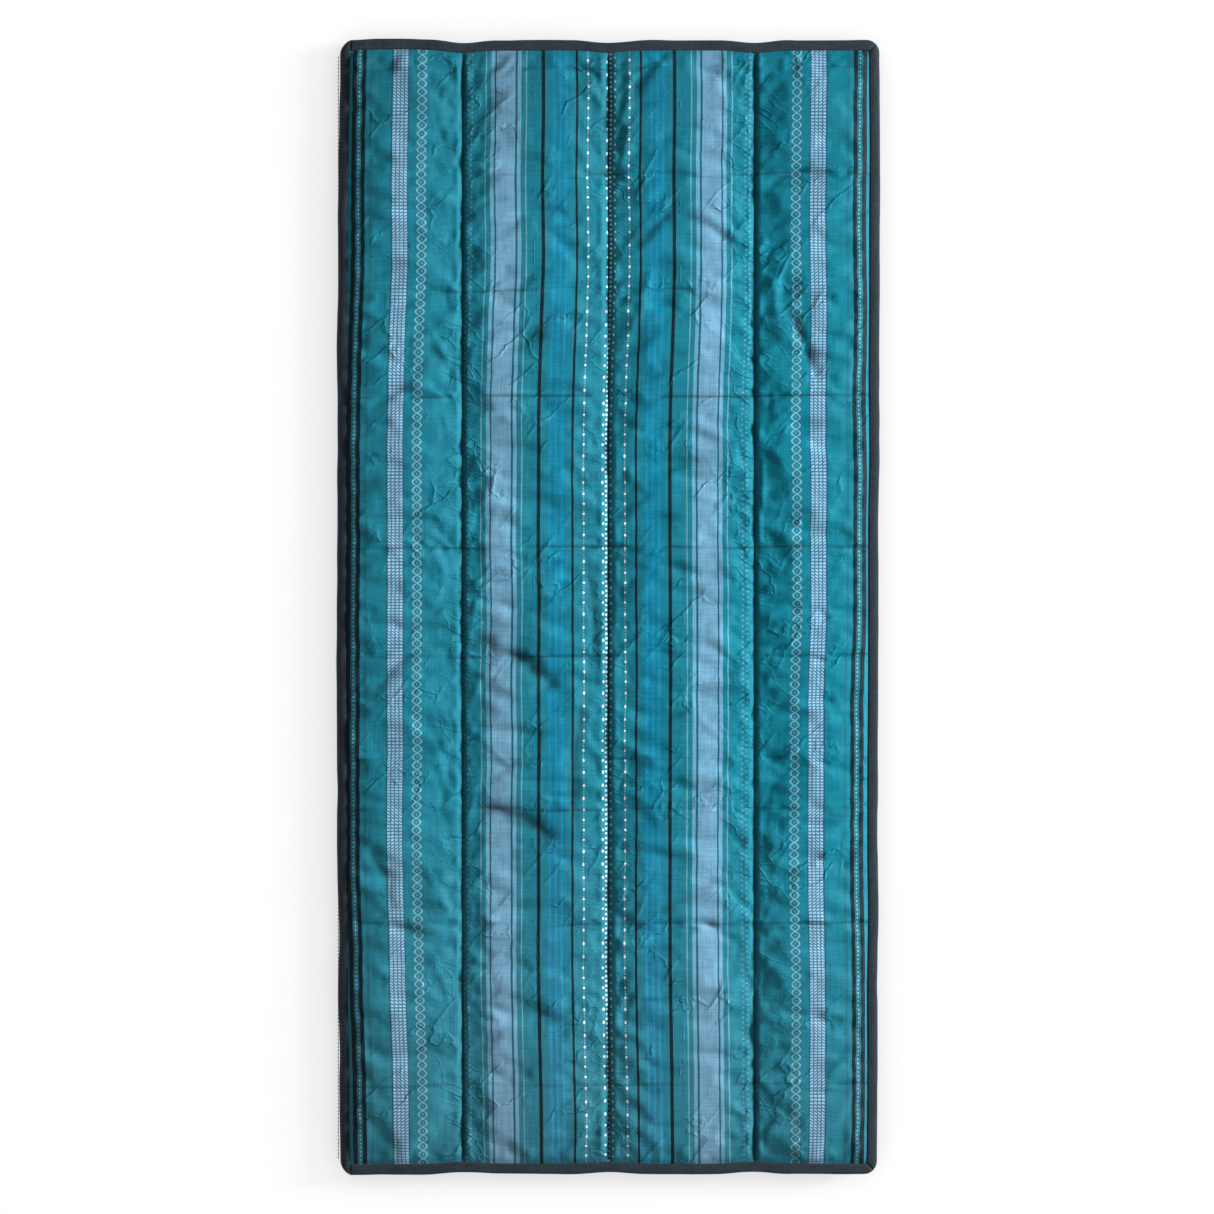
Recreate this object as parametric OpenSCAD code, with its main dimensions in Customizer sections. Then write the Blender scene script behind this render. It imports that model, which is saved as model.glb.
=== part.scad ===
// Rectangular sleeping bag: two quilted panels joined along one long edge by a fold,
// and closed along the other long edge and the foot by an L-shaped zip with two sliders.
// +Y points to the head, +X to the zip side, and the bag lies on Z = 0.

/* [Bag] */
// Width of the closed bag
bag_w = 914; // [800:2:1000]
// Length of the closed bag
bag_l = 1905; // [1600:5:2200]
// Radius of the bag's corners, seen from above
corner_r = 22; // [20:1:26]

/* [Quilted panels] */
// Distance between neighbouring lengthwise seams
seam_gap = 246; // [200:1:260]
// Height that a channel puffs up above its seams
puff_up = 19; // [14:0.5:20]
// Depth that a channel sags below its seams
puff_down = 5; // [4:0.5:5]
// Free height between the crowns of the two panels
inner_gap = 6; // [6:1:12]
// Thickness of the shell and of the lining
skin_t = 1; // [0.8:0.1:1.2]
// Length over which the quilt thins out towards head and foot
end_taper = 90; // [70:5:150]

/* [Edge binding] */
// Width of the binding, seen from above
bind_w = 18; // [16:1:20]
// Thickness of the bound edge
bind_h = 8; // [7.5:0.5:9]

/* [Zip] */
// Distance from the bag's edge to the zip's wall
zip_inset = 11; // [10.5:0.5:12]
// Radius of the zip's bend at the foot corner
zip_bend_r = 20; // [16:1:26]
// Length of a slider
slider_l = 28; // [24:1:32]
// Length of a pull tab, from its crossbar to its tip
pull_l = 32; // [26:1:34]

/* [Draft tube] */
// Width of the padded tube behind the side zip
tube_w = 30; // [24:1:34]
// Height of that tube
tube_h = 13; // [10:0.5:13]

/* [Hidden] */
$fn = 96;
wide_fn = 1440;             // for arcs with a radius of half a metre and more

// Outline and clearances
half_w = bag_w / 2;
half_l = bag_l / 2;
fit = 0.2;                  // gap between pieces sewn to each other
fold_inset = 1.5;           // the bound edge stops this far short of the bag's edge at the fold
fold_x = -half_w + 1;       // the fold's hinge line
crown_trim = 1;             // height cut off each crown, which leaves it a flat top

// Quilt
quilt_x = half_w - bind_w - 0.5;
quilt_y = half_l - bind_w - 0.5;
channel_x = [-quilt_x, -seam_gap, 0, seam_gap, quilt_x];
seam_z = puff_down;         // height of the seams above the panel's underside
web_w = 5.6;                // width of the pressed strip along a seam
web_t = 0.8;
rim_t = 1.8;                // half the thickness of the quilt's flat rim
rim_inset = 5;              // distance from the bag's edge to the rim's edge
panel_h = puff_up + puff_down;
top_z = panel_h + inner_gap;
fold_z = (top_z + panel_h) / 2;

// Binding
bind_z = seam_z - bind_h / 2;
lip_slot = 2 * rim_t + 0.4;

// Threads
thread_w = 1.2;
thread_t = 0.55;
stitch_inset = bind_w - 3;
fold_cord_r = 1;
fold_clear = 1.4;           // gap between the fold's cord line and each fold band
fold_round = 9;             // radius at which each fold band turns up from the rim

// Zip
zip_x = half_w - zip_inset;
zip_y = half_l - zip_inset;
wall_low = bind_z + bind_h;
wall_high = top_z + bind_z;
zip_z = (wall_low + wall_high) / 2;
tape_t = 1;
row_gap = 1.6;              // space between the two rows of coil
row_h = 3;
row_t = 4.2;
stop_l = 4;
slider_slack = 0.5;
head_end = half_l - 8.5;    // the lower row runs to here at the head
foot_end = -half_w + 33;    // and starts here at the foot
row_lead = stop_l + slider_l + 2 * slider_slack + 3;
side_park = head_end - stop_l - slider_slack - slider_l / 2;
foot_park = foot_end + stop_l + slider_slack + slider_l / 2;

// Slider and pull, measured from the zip's centre line
plate_in = 3;
plate_out = 4.6;
flange_in = 1.1;
tunnel_h = 8.4;
nose_h = 14;
tail_h = 11.2;
divider_t = 1;
divider_l = 9;
bridge_l = 12;
bridge_w = 3;
bridge_out = 8.2;
bridge_t = 1.3;
pin_x = 5.8;
pull_t = 1.4;
pull_w = 8;
pull_arm = 1.6;
pull_eye = 9;               // length of the open loop that goes round the bridge

// Draft tube
tube_x = zip_x - 12 - tube_w;
tube_z = top_z + 0.8 - tube_h;
tube_y0 = -half_l + 55;
tube_y1 = half_l - 72;
tube_t = 0.8;

teal = [0.13, 0.45, 0.52];
charcoal = [0.13, 0.14, 0.17];
lining_grey = [0.24, 0.27, 0.31];
batt_white = [0.9, 0.9, 0.88];
thread_dark = [0.08, 0.2, 0.24];
metal = [0.35, 0.36, 0.38];

// Radius of the arc that rises by rise over a chord
function arc_r(chord, rise) = (chord * chord / 4 + rise * rise) / (2 * rise);

// ---------- Outlines seen from above ----------

module rounded_rect(w, l, r) {
    square([w - 2 * r, l], center = true);
    square([w, l - 2 * r], center = true);
    for (sx = [-1, 1], sy = [-1, 1])
        translate([sx * (w / 2 - r), sy * (l / 2 - r)]) circle(r = r);
}

// The panel's outline moved inwards, cut straight along the fold
module outline(inset) {
    intersection() {
        rounded_rect(bag_w - 2 * inset, bag_l - 2 * inset, corner_r - inset);
        translate([-half_w + fold_inset + inset, -half_l]) square([bag_w, bag_l]);
    }
}

module quilt_area(grow) {
    square([2 * (quilt_x + grow), 2 * (quilt_y + grow)], center = true);
}

// Strip of half width half_t that follows the zip from the head end to the foot end
module zip_plan(half_t, y_end, x_end) {
    bend_x = zip_x - zip_bend_r;
    bend_y = -zip_y + zip_bend_r;
    translate([zip_x - half_t, bend_y]) square([2 * half_t, y_end - bend_y]);
    translate([x_end, -zip_y - half_t]) square([bend_x - x_end, 2 * half_t]);
    translate([bend_x, bend_y]) intersection() {
        difference() {
            circle(r = zip_bend_r + half_t);
            circle(r = zip_bend_r - half_t);
        }
        translate([0, -2 * zip_bend_r]) square(2 * zip_bend_r);
    }
}

// ---------- Quilt ----------

// Section across a channel: an arc over x0..x1 with a flat top at height
module puff_across(x0, x1, height, inset, base) {
    r = arc_r(x1 - x0, height + crown_trim);
    intersection() {
        translate([(x0 + x1) / 2, height + crown_trim - r])
            circle(r = r - inset, $fn = wide_fn);
        translate([x0, base]) square([x1 - x0, height - inset - base]);
    }
}

// Section along the bag: flat, with an arc down to the seam plane at each end
module puff_along(height, inset, base) {
    r = arc_r(2 * end_taper, height + crown_trim);
    flat_l = 2 * (quilt_y - end_taper);
    intersection() {
        union() {
            translate([-flat_l / 2, base]) square([flat_l, height - base]);
            for (side = [-1, 1])
                translate([side * flat_l / 2, height + crown_trim - r])
                    circle(r = r - inset, $fn = wide_fn);
        }
        translate([-quilt_y, base]) square([2 * quilt_y, height - inset - base]);
    }
}

// One side of one channel above the seam plane
module half_channel(i, height, inset, base) {
    intersection() {
        rotate([90, 0, 0]) linear_extrude(bag_l, center = true)
            puff_across(channel_x[i], channel_x[i + 1], height, inset, base);
        rotate([90, 0, 90]) linear_extrude(bag_w, center = true)
            puff_along(height, inset, base);
    }
}

// Fabric over all four channels, pressed flat along the seams and the rim
module skin(height) {
    for (i = [0:3]) difference() {
        half_channel(i, height, 0, fit / 2);
        half_channel(i, height, skin_t, -1);
    }
    for (x = [-seam_gap, 0, seam_gap])
        translate([x - web_w / 2, -quilt_y, fit / 2])
            cube([web_w, 2 * quilt_y, web_t - fit / 2]);
    translate([0, 0, fit / 2]) linear_extrude(rim_t - fit / 2) difference() {
        outline(rim_inset);
        quilt_area(-1);
    }
}

module upper_skin(z) {
    translate([0, 0, z + seam_z]) skin(puff_up);
}

module lower_skin(z) {
    translate([0, 0, z + seam_z]) mirror([0, 0, 1]) skin(puff_down);
}

module batt(i, z) {
    gap = skin_t + fit;
    translate([0, 0, z + seam_z]) {
        half_channel(i, puff_up, gap, 0);
        mirror([0, 0, 1]) half_channel(i, puff_down, gap, 0);
    }
}

// Threads along the three seams, on the side that direction points to
module seam_threads(z, direction) {
    for (x = [-seam_gap, 0, seam_gap])
        translate([x, 0, z + seam_z + direction * (web_t + fit / 4 + thread_t / 2)])
            cube([thread_w, 2 * quilt_y - 4, thread_t], center = true);
}

// ---------- Binding ----------

// Parts of the binding, mitred where the side meets the head and the foot
module side_area() {
    inner = [quilt_x + 0.5 + fit / 2, quilt_y + 0.5];
    reach = bind_w + 10;
    polygon([
        [inner.x, -inner.y], [inner.x + reach, -inner.y - reach],
        [inner.x + reach, inner.y + reach], [inner.x, inner.y]
    ]);
}

module end_area() {
    inner = [quilt_x + 0.5, quilt_y + 0.5 + fit / 2];
    reach = bind_w + 10;
    polygon([
        [-inner.x + fit, inner.y], [inner.x, inner.y],
        [inner.x + reach, inner.y + reach], [-inner.x + fit, inner.y + reach]
    ]);
}

// Folded tape that wraps the rim of a panel
module binding_ring(z) {
    translate([0, 0, z + bind_z]) difference() {
        linear_extrude(bind_h) difference() {
            outline(0);
            quilt_area(0.5);
        }
        translate([0, 0, (bind_h - lip_slot) / 2])
            linear_extrude(lip_slot) outline(rim_inset - 0.5);
    }
}

module binding_part(z) {
    intersection() {
        binding_ring(z);
        translate([0, 0, z]) linear_extrude(2 * bind_h) children();
    }
}

module side_binding(z) {
    binding_part(z) side_area();
}

module head_binding(z) {
    binding_part(z) end_area();
}

module foot_binding(z) {
    binding_part(z) mirror([0, 1, 0]) end_area();
}

// Line of thread round the binding, near its inner edge
module binding_threads(z) {
    translate([0, 0, z]) linear_extrude(thread_t - fit / 4) difference() {
        outline(stitch_inset - thread_w / 2);
        outline(stitch_inset + thread_w / 2);
    }
}

// ---------- Fold side ----------

// Section of a fold band: the bound rim, and a wall that rises to the fold
module fold_band_section(height) {
    round_r = fold_round;
    x0 = -half_w + fold_inset;
    x1 = -quilt_x - 0.5;
    wall = 2;
    difference() {
        union() {
            intersection() {
                translate([x0 + round_r, round_r]) circle(r = round_r);
                translate([x0, 0]) square([round_r, round_r]);
            }
            translate([x0 + round_r, 0]) square([x1 - x0 - round_r, round_r]);
            translate([x0, round_r]) square([x1 - x0, height - round_r]);
        }
        translate([x0 + wall, bind_h]) square([bind_w, height]);
        translate([x0 + rim_inset - 0.5, (bind_h - lip_slot) / 2])
            square([bind_w, lip_slot]);
    }
}

module fold_band(height) {
    intersection() {
        rotate([90, 0, 0]) linear_extrude(bag_l, center = true)
            fold_band_section(height);
        linear_extrude(height) outline(0);
    }
}

module bottom_fold_band() {
    color(charcoal) translate([0, 0, bind_z])
        fold_band(fold_z - fold_clear - bind_z);
}

module top_fold_band() {
    high = top_z + bind_z + bind_h;
    color(charcoal) translate([0, 0, high]) mirror([0, 0, 1])
        fold_band(high - fold_z - fold_clear);
}

module fold_stitching() {
    color(thread_dark) translate([fold_x, 0, fold_z]) rotate([90, 0, 0])
        cylinder(r = fold_cord_r, h = bag_l - 2 * corner_r, center = true);
}

// ---------- Zip ----------

module tape(z0, z1, lead) {
    translate([0, 0, z0]) linear_extrude(z1 - z0)
        zip_plan(tape_t / 2, head_end - lead, foot_end + lead);
}

// Row of coil, short of the tape's ends by the two stops
module coil_row(z0, lead) {
    short = stop_l + fit;
    translate([0, 0, z0]) linear_extrude(row_h)
        zip_plan(row_t / 2, head_end - lead - short, foot_end + lead + short);
}

module stop(z0) {
    translate([-row_t / 2, 0, z0]) cube([row_t, stop_l, row_h]);
}

module head_stop(z0, lead) {
    translate([zip_x, head_end - lead - stop_l, 0]) stop(z0);
}

module foot_stop(z0, lead) {
    translate([foot_end + lead, -zip_y, 0]) rotate([0, 0, -90]) stop(z0);
}

lower_row_z = zip_z - row_gap / 2 - row_h;
upper_row_z = zip_z + row_gap / 2;

// ---------- Slider ----------

// Outline of a slider's plate, wide at the nose, in (along, up)
module plate_outline() {
    polygon([
        [-slider_l / 2, -tail_h / 2], [slider_l / 2, -nose_h / 2],
        [slider_l / 2, nose_h / 2], [-slider_l / 2, tail_h / 2]
    ]);
}

// Plate with flanges round the rows, and the bridge that holds the pull
module slider_half() {
    difference() {
        translate([flange_in, 0, 0]) rotate([90, 0, 90])
            linear_extrude(plate_out - flange_in) plate_outline();
        translate([0, -slider_l, -tunnel_h / 2])
            cube([plate_in, 2 * slider_l, tunnel_h]);
    }
    difference() {
        translate([plate_out - 0.5, -bridge_l / 2, -bridge_w / 2])
            cube([bridge_out - plate_out + 0.5, bridge_l, bridge_w]);
        translate([plate_out - 1, -bridge_l / 2 + bridge_t, -bridge_w])
            cube([bridge_out - bridge_t - plate_out + 1,
                  bridge_l - 2 * bridge_t, 2 * bridge_w]);
    }
}

module slider() {
    slider_half();
    mirror([1, 0, 0]) slider_half();
    translate([-plate_in - 0.5, slider_l / 2 - divider_l, -divider_t / 2])
        cube([2 * plate_in + 1, divider_l, divider_t]);
}

// Pull tab that points to the slider's tail
module pull() {
    translate([pin_x, 0, 0]) {
        cylinder(r = pull_t / 2, h = pull_w, center = true);
        for (side = [-1, 1])
            translate([-pull_t / 2, -pull_eye, side * (pull_w - pull_arm) / 2 - pull_arm / 2])
                cube([pull_t, pull_eye, pull_arm]);
        difference() {
            union() {
                translate([-pull_t / 2, -pull_l + pull_w / 2, -pull_w / 2])
                    cube([pull_t, pull_l - pull_w / 2 - pull_eye + 1, pull_w]);
                translate([-pull_t / 2, -pull_l + pull_w / 2, 0]) rotate([0, 90, 0])
                    cylinder(d = pull_w, h = pull_t);
            }
            translate([-pull_t, -pull_l + pull_w / 2, 0]) rotate([0, 90, 0])
                cylinder(d = 3, h = 2 * pull_t);
        }
    }
}

module at_side_park() {
    translate([zip_x, side_park, zip_z]) children();
}

module at_foot_park() {
    translate([foot_park, -zip_y, zip_z]) rotate([0, 0, -90]) mirror([0, 1, 0]) children();
}

// ---------- Draft tube ----------

module tube_section(inset) {
    r = tube_h / 2;
    for (x = [r, tube_w - r]) translate([x, r]) circle(r = r - inset);
    translate([r, inset]) square([tube_w - 2 * r, tube_h - 2 * inset]);
}

module tube_prism(inset) {
    translate([tube_x, (tube_y0 + tube_y1) / 2, tube_z]) rotate([90, 0, 0])
        linear_extrude(tube_y1 - tube_y0 - 2 * inset, center = true) children();
}

// ---------- Nodes ----------

module bottom_shell() { color(teal) lower_skin(0); }
module bottom_fill_1() { color(batt_white) batt(0, 0); }
module bottom_fill_2() { color(batt_white) batt(1, 0); }
module bottom_fill_3() { color(batt_white) batt(2, 0); }
module bottom_fill_4() { color(batt_white) batt(3, 0); }
module bottom_lining() { color(lining_grey) upper_skin(0); }
module bottom_channel_stitching() { color(thread_dark) seam_threads(0, -1); }
module bottom_side_binding() { color(charcoal) side_binding(0); }
module bottom_head_binding() { color(charcoal) head_binding(0); }
module bottom_foot_binding() { color(charcoal) foot_binding(0); }
module bottom_binding_stitching() {
    color(thread_dark) binding_threads(bind_z - thread_t);
}

module top_shell() { color(teal) upper_skin(top_z); }
module top_fill_1() { color(batt_white) batt(0, top_z); }
module top_fill_2() { color(batt_white) batt(1, top_z); }
module top_fill_3() { color(batt_white) batt(2, top_z); }
module top_fill_4() { color(batt_white) batt(3, top_z); }
module top_lining() { color(lining_grey) lower_skin(top_z); }
module top_channel_stitching() { color(thread_dark) seam_threads(top_z, 1); }
module top_side_binding() { color(charcoal) side_binding(top_z); }
module top_head_binding() { color(charcoal) head_binding(top_z); }
module top_foot_binding() { color(charcoal) foot_binding(top_z); }
module top_binding_stitching() {
    color(thread_dark) binding_threads(top_z + bind_z + bind_h + fit / 4);
}

module lower_zip_tape() { color(charcoal) tape(wall_low + fit / 2, lower_row_z - fit / 2, 0); }
module lower_zip_coil() { color(charcoal) coil_row(lower_row_z, 0); }
module lower_head_stop() { color(metal) head_stop(lower_row_z, 0); }
module lower_foot_stop() { color(metal) foot_stop(lower_row_z, 0); }
module upper_zip_tape() {
    color(charcoal) tape(upper_row_z + row_h + fit / 2, wall_high - fit / 2, row_lead);
}
module upper_zip_coil() { color(charcoal) coil_row(upper_row_z, row_lead); }
module upper_head_stop() { color(metal) head_stop(upper_row_z, row_lead); }
module upper_foot_stop() { color(metal) foot_stop(upper_row_z, row_lead); }

module draft_tube_cover() {
    color(lining_grey) {
        difference() {
            tube_prism(0) tube_section(0);
            tube_prism(tube_t) tube_section(tube_t);
        }
        translate([tube_x + tube_w / 2, tube_y0, tube_z + tube_h - tube_t])
            cube([quilt_x - tube_x - tube_w / 2, tube_y1 - tube_y0, tube_t]);
    }
}
module draft_tube_fill() { color(batt_white) tube_prism(tube_t + fit) tube_section(tube_t + fit); }

module side_slider_body() { color(metal) at_side_park() slider(); }
module side_outer_pull() { color(metal) at_side_park() pull(); }
module side_inner_pull() { color(metal) at_side_park() mirror([1, 0, 0]) pull(); }
module foot_slider_body() { color(metal) at_foot_park() slider(); }
module foot_outer_pull() { color(metal) at_foot_park() pull(); }
module foot_inner_pull() { color(metal) at_foot_park() mirror([1, 0, 0]) pull(); }

bottom_shell();
bottom_fill_1();
bottom_fill_2();
bottom_fill_3();
bottom_fill_4();
bottom_lining();
bottom_channel_stitching();
bottom_side_binding();
bottom_head_binding();
bottom_foot_binding();
bottom_binding_stitching();
bottom_fold_band();
fold_stitching();
lower_zip_tape();
lower_zip_coil();
lower_head_stop();
lower_foot_stop();
top_shell();
top_fill_1();
top_fill_2();
top_fill_3();
top_fill_4();
top_lining();
top_channel_stitching();
top_side_binding();
top_head_binding();
top_foot_binding();
top_binding_stitching();
top_fold_band();
upper_zip_tape();
upper_zip_coil();
upper_head_stop();
upper_foot_stop();
draft_tube_cover();
draft_tube_fill();
side_slider_body();
side_outer_pull();
side_inner_pull();
foot_slider_body();
foot_outer_pull();
foot_inner_pull();
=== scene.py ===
"""A rectangular sleeping bag, closed and lying flat, in striped teal cloth with a dark binding."""
import math
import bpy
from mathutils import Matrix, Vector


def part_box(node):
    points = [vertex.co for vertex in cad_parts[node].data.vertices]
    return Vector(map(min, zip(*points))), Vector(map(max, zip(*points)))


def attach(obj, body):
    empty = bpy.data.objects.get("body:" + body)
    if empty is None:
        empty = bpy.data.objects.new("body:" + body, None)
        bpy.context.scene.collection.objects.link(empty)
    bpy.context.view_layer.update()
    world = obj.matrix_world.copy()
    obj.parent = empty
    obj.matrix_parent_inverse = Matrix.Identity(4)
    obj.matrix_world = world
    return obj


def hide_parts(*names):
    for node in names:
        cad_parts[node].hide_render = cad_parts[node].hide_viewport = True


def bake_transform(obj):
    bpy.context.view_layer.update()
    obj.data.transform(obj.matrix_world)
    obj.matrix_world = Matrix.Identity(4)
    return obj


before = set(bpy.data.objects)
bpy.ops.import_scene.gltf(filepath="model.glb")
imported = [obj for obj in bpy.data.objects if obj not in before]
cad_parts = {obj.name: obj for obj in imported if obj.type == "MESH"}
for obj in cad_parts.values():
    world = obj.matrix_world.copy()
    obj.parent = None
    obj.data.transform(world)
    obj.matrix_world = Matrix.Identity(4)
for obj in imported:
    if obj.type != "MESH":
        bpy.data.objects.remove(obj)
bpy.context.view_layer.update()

from types import SimpleNamespace as Skin

import bpy
import numpy as np

MM = 0.001


# ---- Sizes, all in metres and all from the frame ----

def low(node):
    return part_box(node)[0]


def high(node):
    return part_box(node)[1]


HALF_W = high("top_side_binding").x
HALF_L = high("top_head_binding").y
FOLD_X = -HALF_W + 1 * MM
FOLD_Z = (low("fold_stitching").z + high("fold_stitching").z) / 2
QUILT_X = low("top_side_binding").x
QUILT_Y = low("top_head_binding").y
RIM_X = high("top_shell").x
RIM_Y = high("top_shell").y
SEAMS = [(high(f"top_fill_{i}").x + low(f"top_fill_{i + 1}").x) / 2 for i in (1, 2, 3)]
TOP_SEAM_Z = low("top_shell").z
TOP_Z = high("top_shell").z
TOP_LINING_Z = low("top_lining").z
BOTTOM_SEAM_Z = high("bottom_shell").z
BOTTOM_LINING_Z = high("bottom_lining").z
BINDING_W = HALF_W - QUILT_X
CORNER_R = 22 * MM


# ---- Small numeric helpers ----

def smooth(t):
    """Eases from 0 to 1 while t goes from 0 to 1."""
    t = np.clip(t, 0, 1)
    return t * t * (3 - 2 * t)


def waves(x, y, size_x, size_y, seed):
    """Smooth noise from -1 to 1, whose hills are about size_x by size_y metres."""
    rng = np.random.default_rng(seed)
    lattice = rng.uniform(-1, 1, (64, 64))
    u = np.asarray(x) / size_x + 1000.0
    v = np.asarray(y) / size_y + 1000.0
    i = np.floor(u).astype(int)
    j = np.floor(v).astype(int)
    s = smooth(u - i)
    t = smooth(v - j)
    i, j, i2, j2 = i % 64, j % 64, (i + 1) % 64, (j + 1) % 64
    near = lattice[i, j] * (1 - s) + lattice[i2, j] * s
    far = lattice[i, j2] * (1 - s) + lattice[i2, j2] * s
    return near * (1 - t) + far * t


def ripple(along, size, seed):
    """Smooth noise from -1 to 1 along one line, whose hills are about size metres long."""
    return waves(along, 0 * along, size, 1, seed)


def creases(x, y, size_x, size_y, seed):
    """Noise from -1 to 1 with soft hollows and sharp crests, as in crumpled cloth."""
    return 1 - 2.6 * np.abs(waves(x, y, size_x, size_y, seed))


def nearest_seam(x, lines):
    """Signed distance to the nearest of the lines, positive on its +X side."""
    away = np.stack([x - line for line in lines])
    pick = np.abs(away).argmin(axis=0)
    return np.take_along_axis(away, pick[None], axis=0)[0]


def cubic_weights(targets, sources):
    """A matrix that carries values at even sources to targets, by Catmull-Rom curves."""
    step = sources[1] - sources[0]
    place = np.clip((targets - sources[0]) / step, 0, len(sources) - 1.000001)
    base = np.floor(place).astype(int)
    t = place - base
    weights = np.zeros((len(targets), len(sources)))
    parts = (
        -0.5 * t + t ** 2 - 0.5 * t ** 3,
        1 - 2.5 * t ** 2 + 1.5 * t ** 3,
        0.5 * t + 2 * t ** 2 - 1.5 * t ** 3,
        -0.5 * t ** 2 + 0.5 * t ** 3,
    )
    for offset, part in zip((-1, 0, 1, 2), parts):
        column = np.clip(base + offset, 0, len(sources) - 1)
        np.add.at(weights, (np.arange(len(targets)), column), part)
    return weights


# ---- Mesh helpers ----

def add_mesh(name, points, faces, flat=None):
    """A smooth-shaded object. flat holds each point's place on the cut cloth, kept as a UV map."""
    mesh = bpy.data.meshes.new(name)
    mesh.from_pydata([tuple(p) for p in points], [], faces)
    mesh.update()
    mesh.polygons.foreach_set("use_smooth", [True] * len(mesh.polygons))
    if flat is not None:
        corners = np.empty(len(mesh.loops), int)
        mesh.loops.foreach_get("vertex_index", corners)
        layer = mesh.uv_layers.new(name="cloth")
        layer.data.foreach_set("uv", np.asarray(flat, np.float32)[corners].ravel())
    piece = bpy.data.objects.new(name, mesh)
    bpy.context.collection.objects.link(piece)
    return piece


def grid_faces(rows, columns, first=0, flip=False):
    """Quads of a grid of rows by columns points."""
    corner = first + (np.arange(rows - 1)[:, None] * columns + np.arange(columns - 1)[None])
    quads = np.stack([corner, corner + 1, corner + columns + 1, corner + columns], axis=-1)
    quads = quads.reshape(-1, 4)
    if flip:
        quads = quads[:, ::-1]
    return quads.tolist()


def ring_faces(count, size):
    """The faces between rings of size points each, and a cap at both ends."""
    faces = []
    for k in range(count - 1):
        for m in range(size):
            n = (m + 1) % size
            faces.append((k * size + m, k * size + n, (k + 1) * size + n, (k + 1) * size + m))
    faces.append(tuple(range(size))[::-1])
    faces.append(tuple((count - 1) * size + m for m in range(size)))
    return faces


def loft(name, rings):
    """A skin over rings, each with the same number of points, with its two ends capped."""
    rings = np.asarray(rings, float)
    return add_mesh(name, rings.reshape(-1, 3), ring_faces(*rings.shape[:2]))


def finish_piece(piece, body, slot, material, nodes):
    """Gives a piece its finish and its place in the frame."""
    piece.data.materials.append(material)
    if body is not None:
        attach(piece, body)
    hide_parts(*nodes)


# ---- How the whole bag strays from its straight outline ----

def outline_shift(x, y):
    """Sideways and lengthways shift of the soft edges: the sides bow, the ends wave between seams."""
    along = y / HALF_L
    left = 3.5 * MM - 6.0 * MM * (1 - along ** 2) + 1.2 * MM * ripple(y, 0.11, 21)
    right = -2.0 * MM + 2.2 * MM * along + 1.0 * MM * ripple(y, 0.13, 22)
    edge = (np.abs(x) / HALF_W) ** 3
    shift_x = edge * np.where(x < 0, left, right)
    puff = np.cos(np.clip(nearest_seam(x, SEAMS) / 0.06, -1, 1) * math.pi)
    head = 1.0 * MM - 2.2 * MM * puff + 2.5 * MM * smooth((-x - 0.25) / 0.1) * smooth((0.45 + x) / 0.06)
    foot = -0.6 * MM + 1.4 * MM * puff + 1.2 * MM * ripple(x, 0.12, 23)
    end = np.abs(along) ** 12
    shift_y = end * np.where(y > 0, head, foot)
    return shift_x, shift_y


def follow_outline(points):
    """Moves straight work sideways and lengthways, as the bag's soft outline strays."""
    shift_x, shift_y = outline_shift(points[..., 0], points[..., 1])
    points[..., 0] += shift_x
    points[..., 1] += shift_y
    return points


# ---- Relief of the quilted cloth ----

# Creases pressed across the bag while it was packed: place along the bag and strength
PRESSED = [
    (0.903, 0.5), (0.727, 0.8), (0.534, 0.7), (0.354, 1.0), (0.100, 1.0),
    (-0.083, 0.9), (-0.256, 0.5), (-0.339, 0.8), (-0.534, 0.7), (-0.803, 0.6),
]

# Single folds: start x, y, end x, y, height in mm (negative for a valley), width in mm
FOLDS = [
    (-0.240, -0.045, -0.060, -0.155, -6.0, 17),
    (-0.225, -0.050, -0.075, -0.115, 2.2, 12),
    (-0.235, -0.325, -0.060, -0.405, -5.5, 17),
    (-0.170, -0.335, -0.030, -0.430, 2.0, 14),
    (-0.040, 0.080, -0.032, -0.120, -2.6, 9),
    (-0.032, -0.120, -0.046, -0.420, -2.2, 10),
    (-0.020, 0.060, -0.018, -0.420, 1.6, 9),
    (0.012, 0.790, 0.036, 0.930, 3.4, 7),
    (0.030, 0.880, 0.090, 0.915, 1.8, 5),
    (0.020, 0.740, 0.034, 0.800, 2.6, 6),
    (0.032, 0.805, 0.078, 0.835, 1.8, 5),
    (0.030, 0.600, 0.120, 0.690, -2.2, 10),
    (0.112, 0.665, 0.235, 0.595, -2.4, 9),
    (0.010, 0.420, 0.075, 0.590, 2.6, 8),
    (0.010, 0.250, 0.110, 0.360, 1.8, 8),
    (0.285, 0.590, 0.290, 0.460, 3.2, 10),
    (0.292, 0.510, 0.352, 0.375, -4.2, 9),
    (0.258, 0.790, 0.345, 0.845, 2.4, 9),
    (0.262, 0.700, 0.340, 0.735, -2.2, 9),
    (0.300, 0.350, 0.310, 0.180, 1.8, 12),
    (0.290, 0.130, 0.330, -0.060, 1.6, 12),
    (-0.410, 0.320, -0.300, 0.420, -1.8, 10),
    (-0.400, -0.160, -0.300, -0.060, -1.6, 10),
    (-0.420, -0.480, -0.280, -0.560, -2.4, 14),
    (-0.400, -0.400, -0.360, -0.520, -2.6, 12),
    (0.060, -0.520, 0.200, -0.440, -1.6, 12),
    (0.080, -0.250, 0.190, -0.200, 1.4, 10),
    (-0.180, 0.420, -0.070, 0.520, -1.6, 12),
    (0.270, -0.300, 0.400, -0.360, -1.5, 12),
    (0.270, -0.640, 0.390, -0.700, 1.5, 12),
    (-0.190, -0.640, -0.060, -0.720, -2.0, 14),
]

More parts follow.
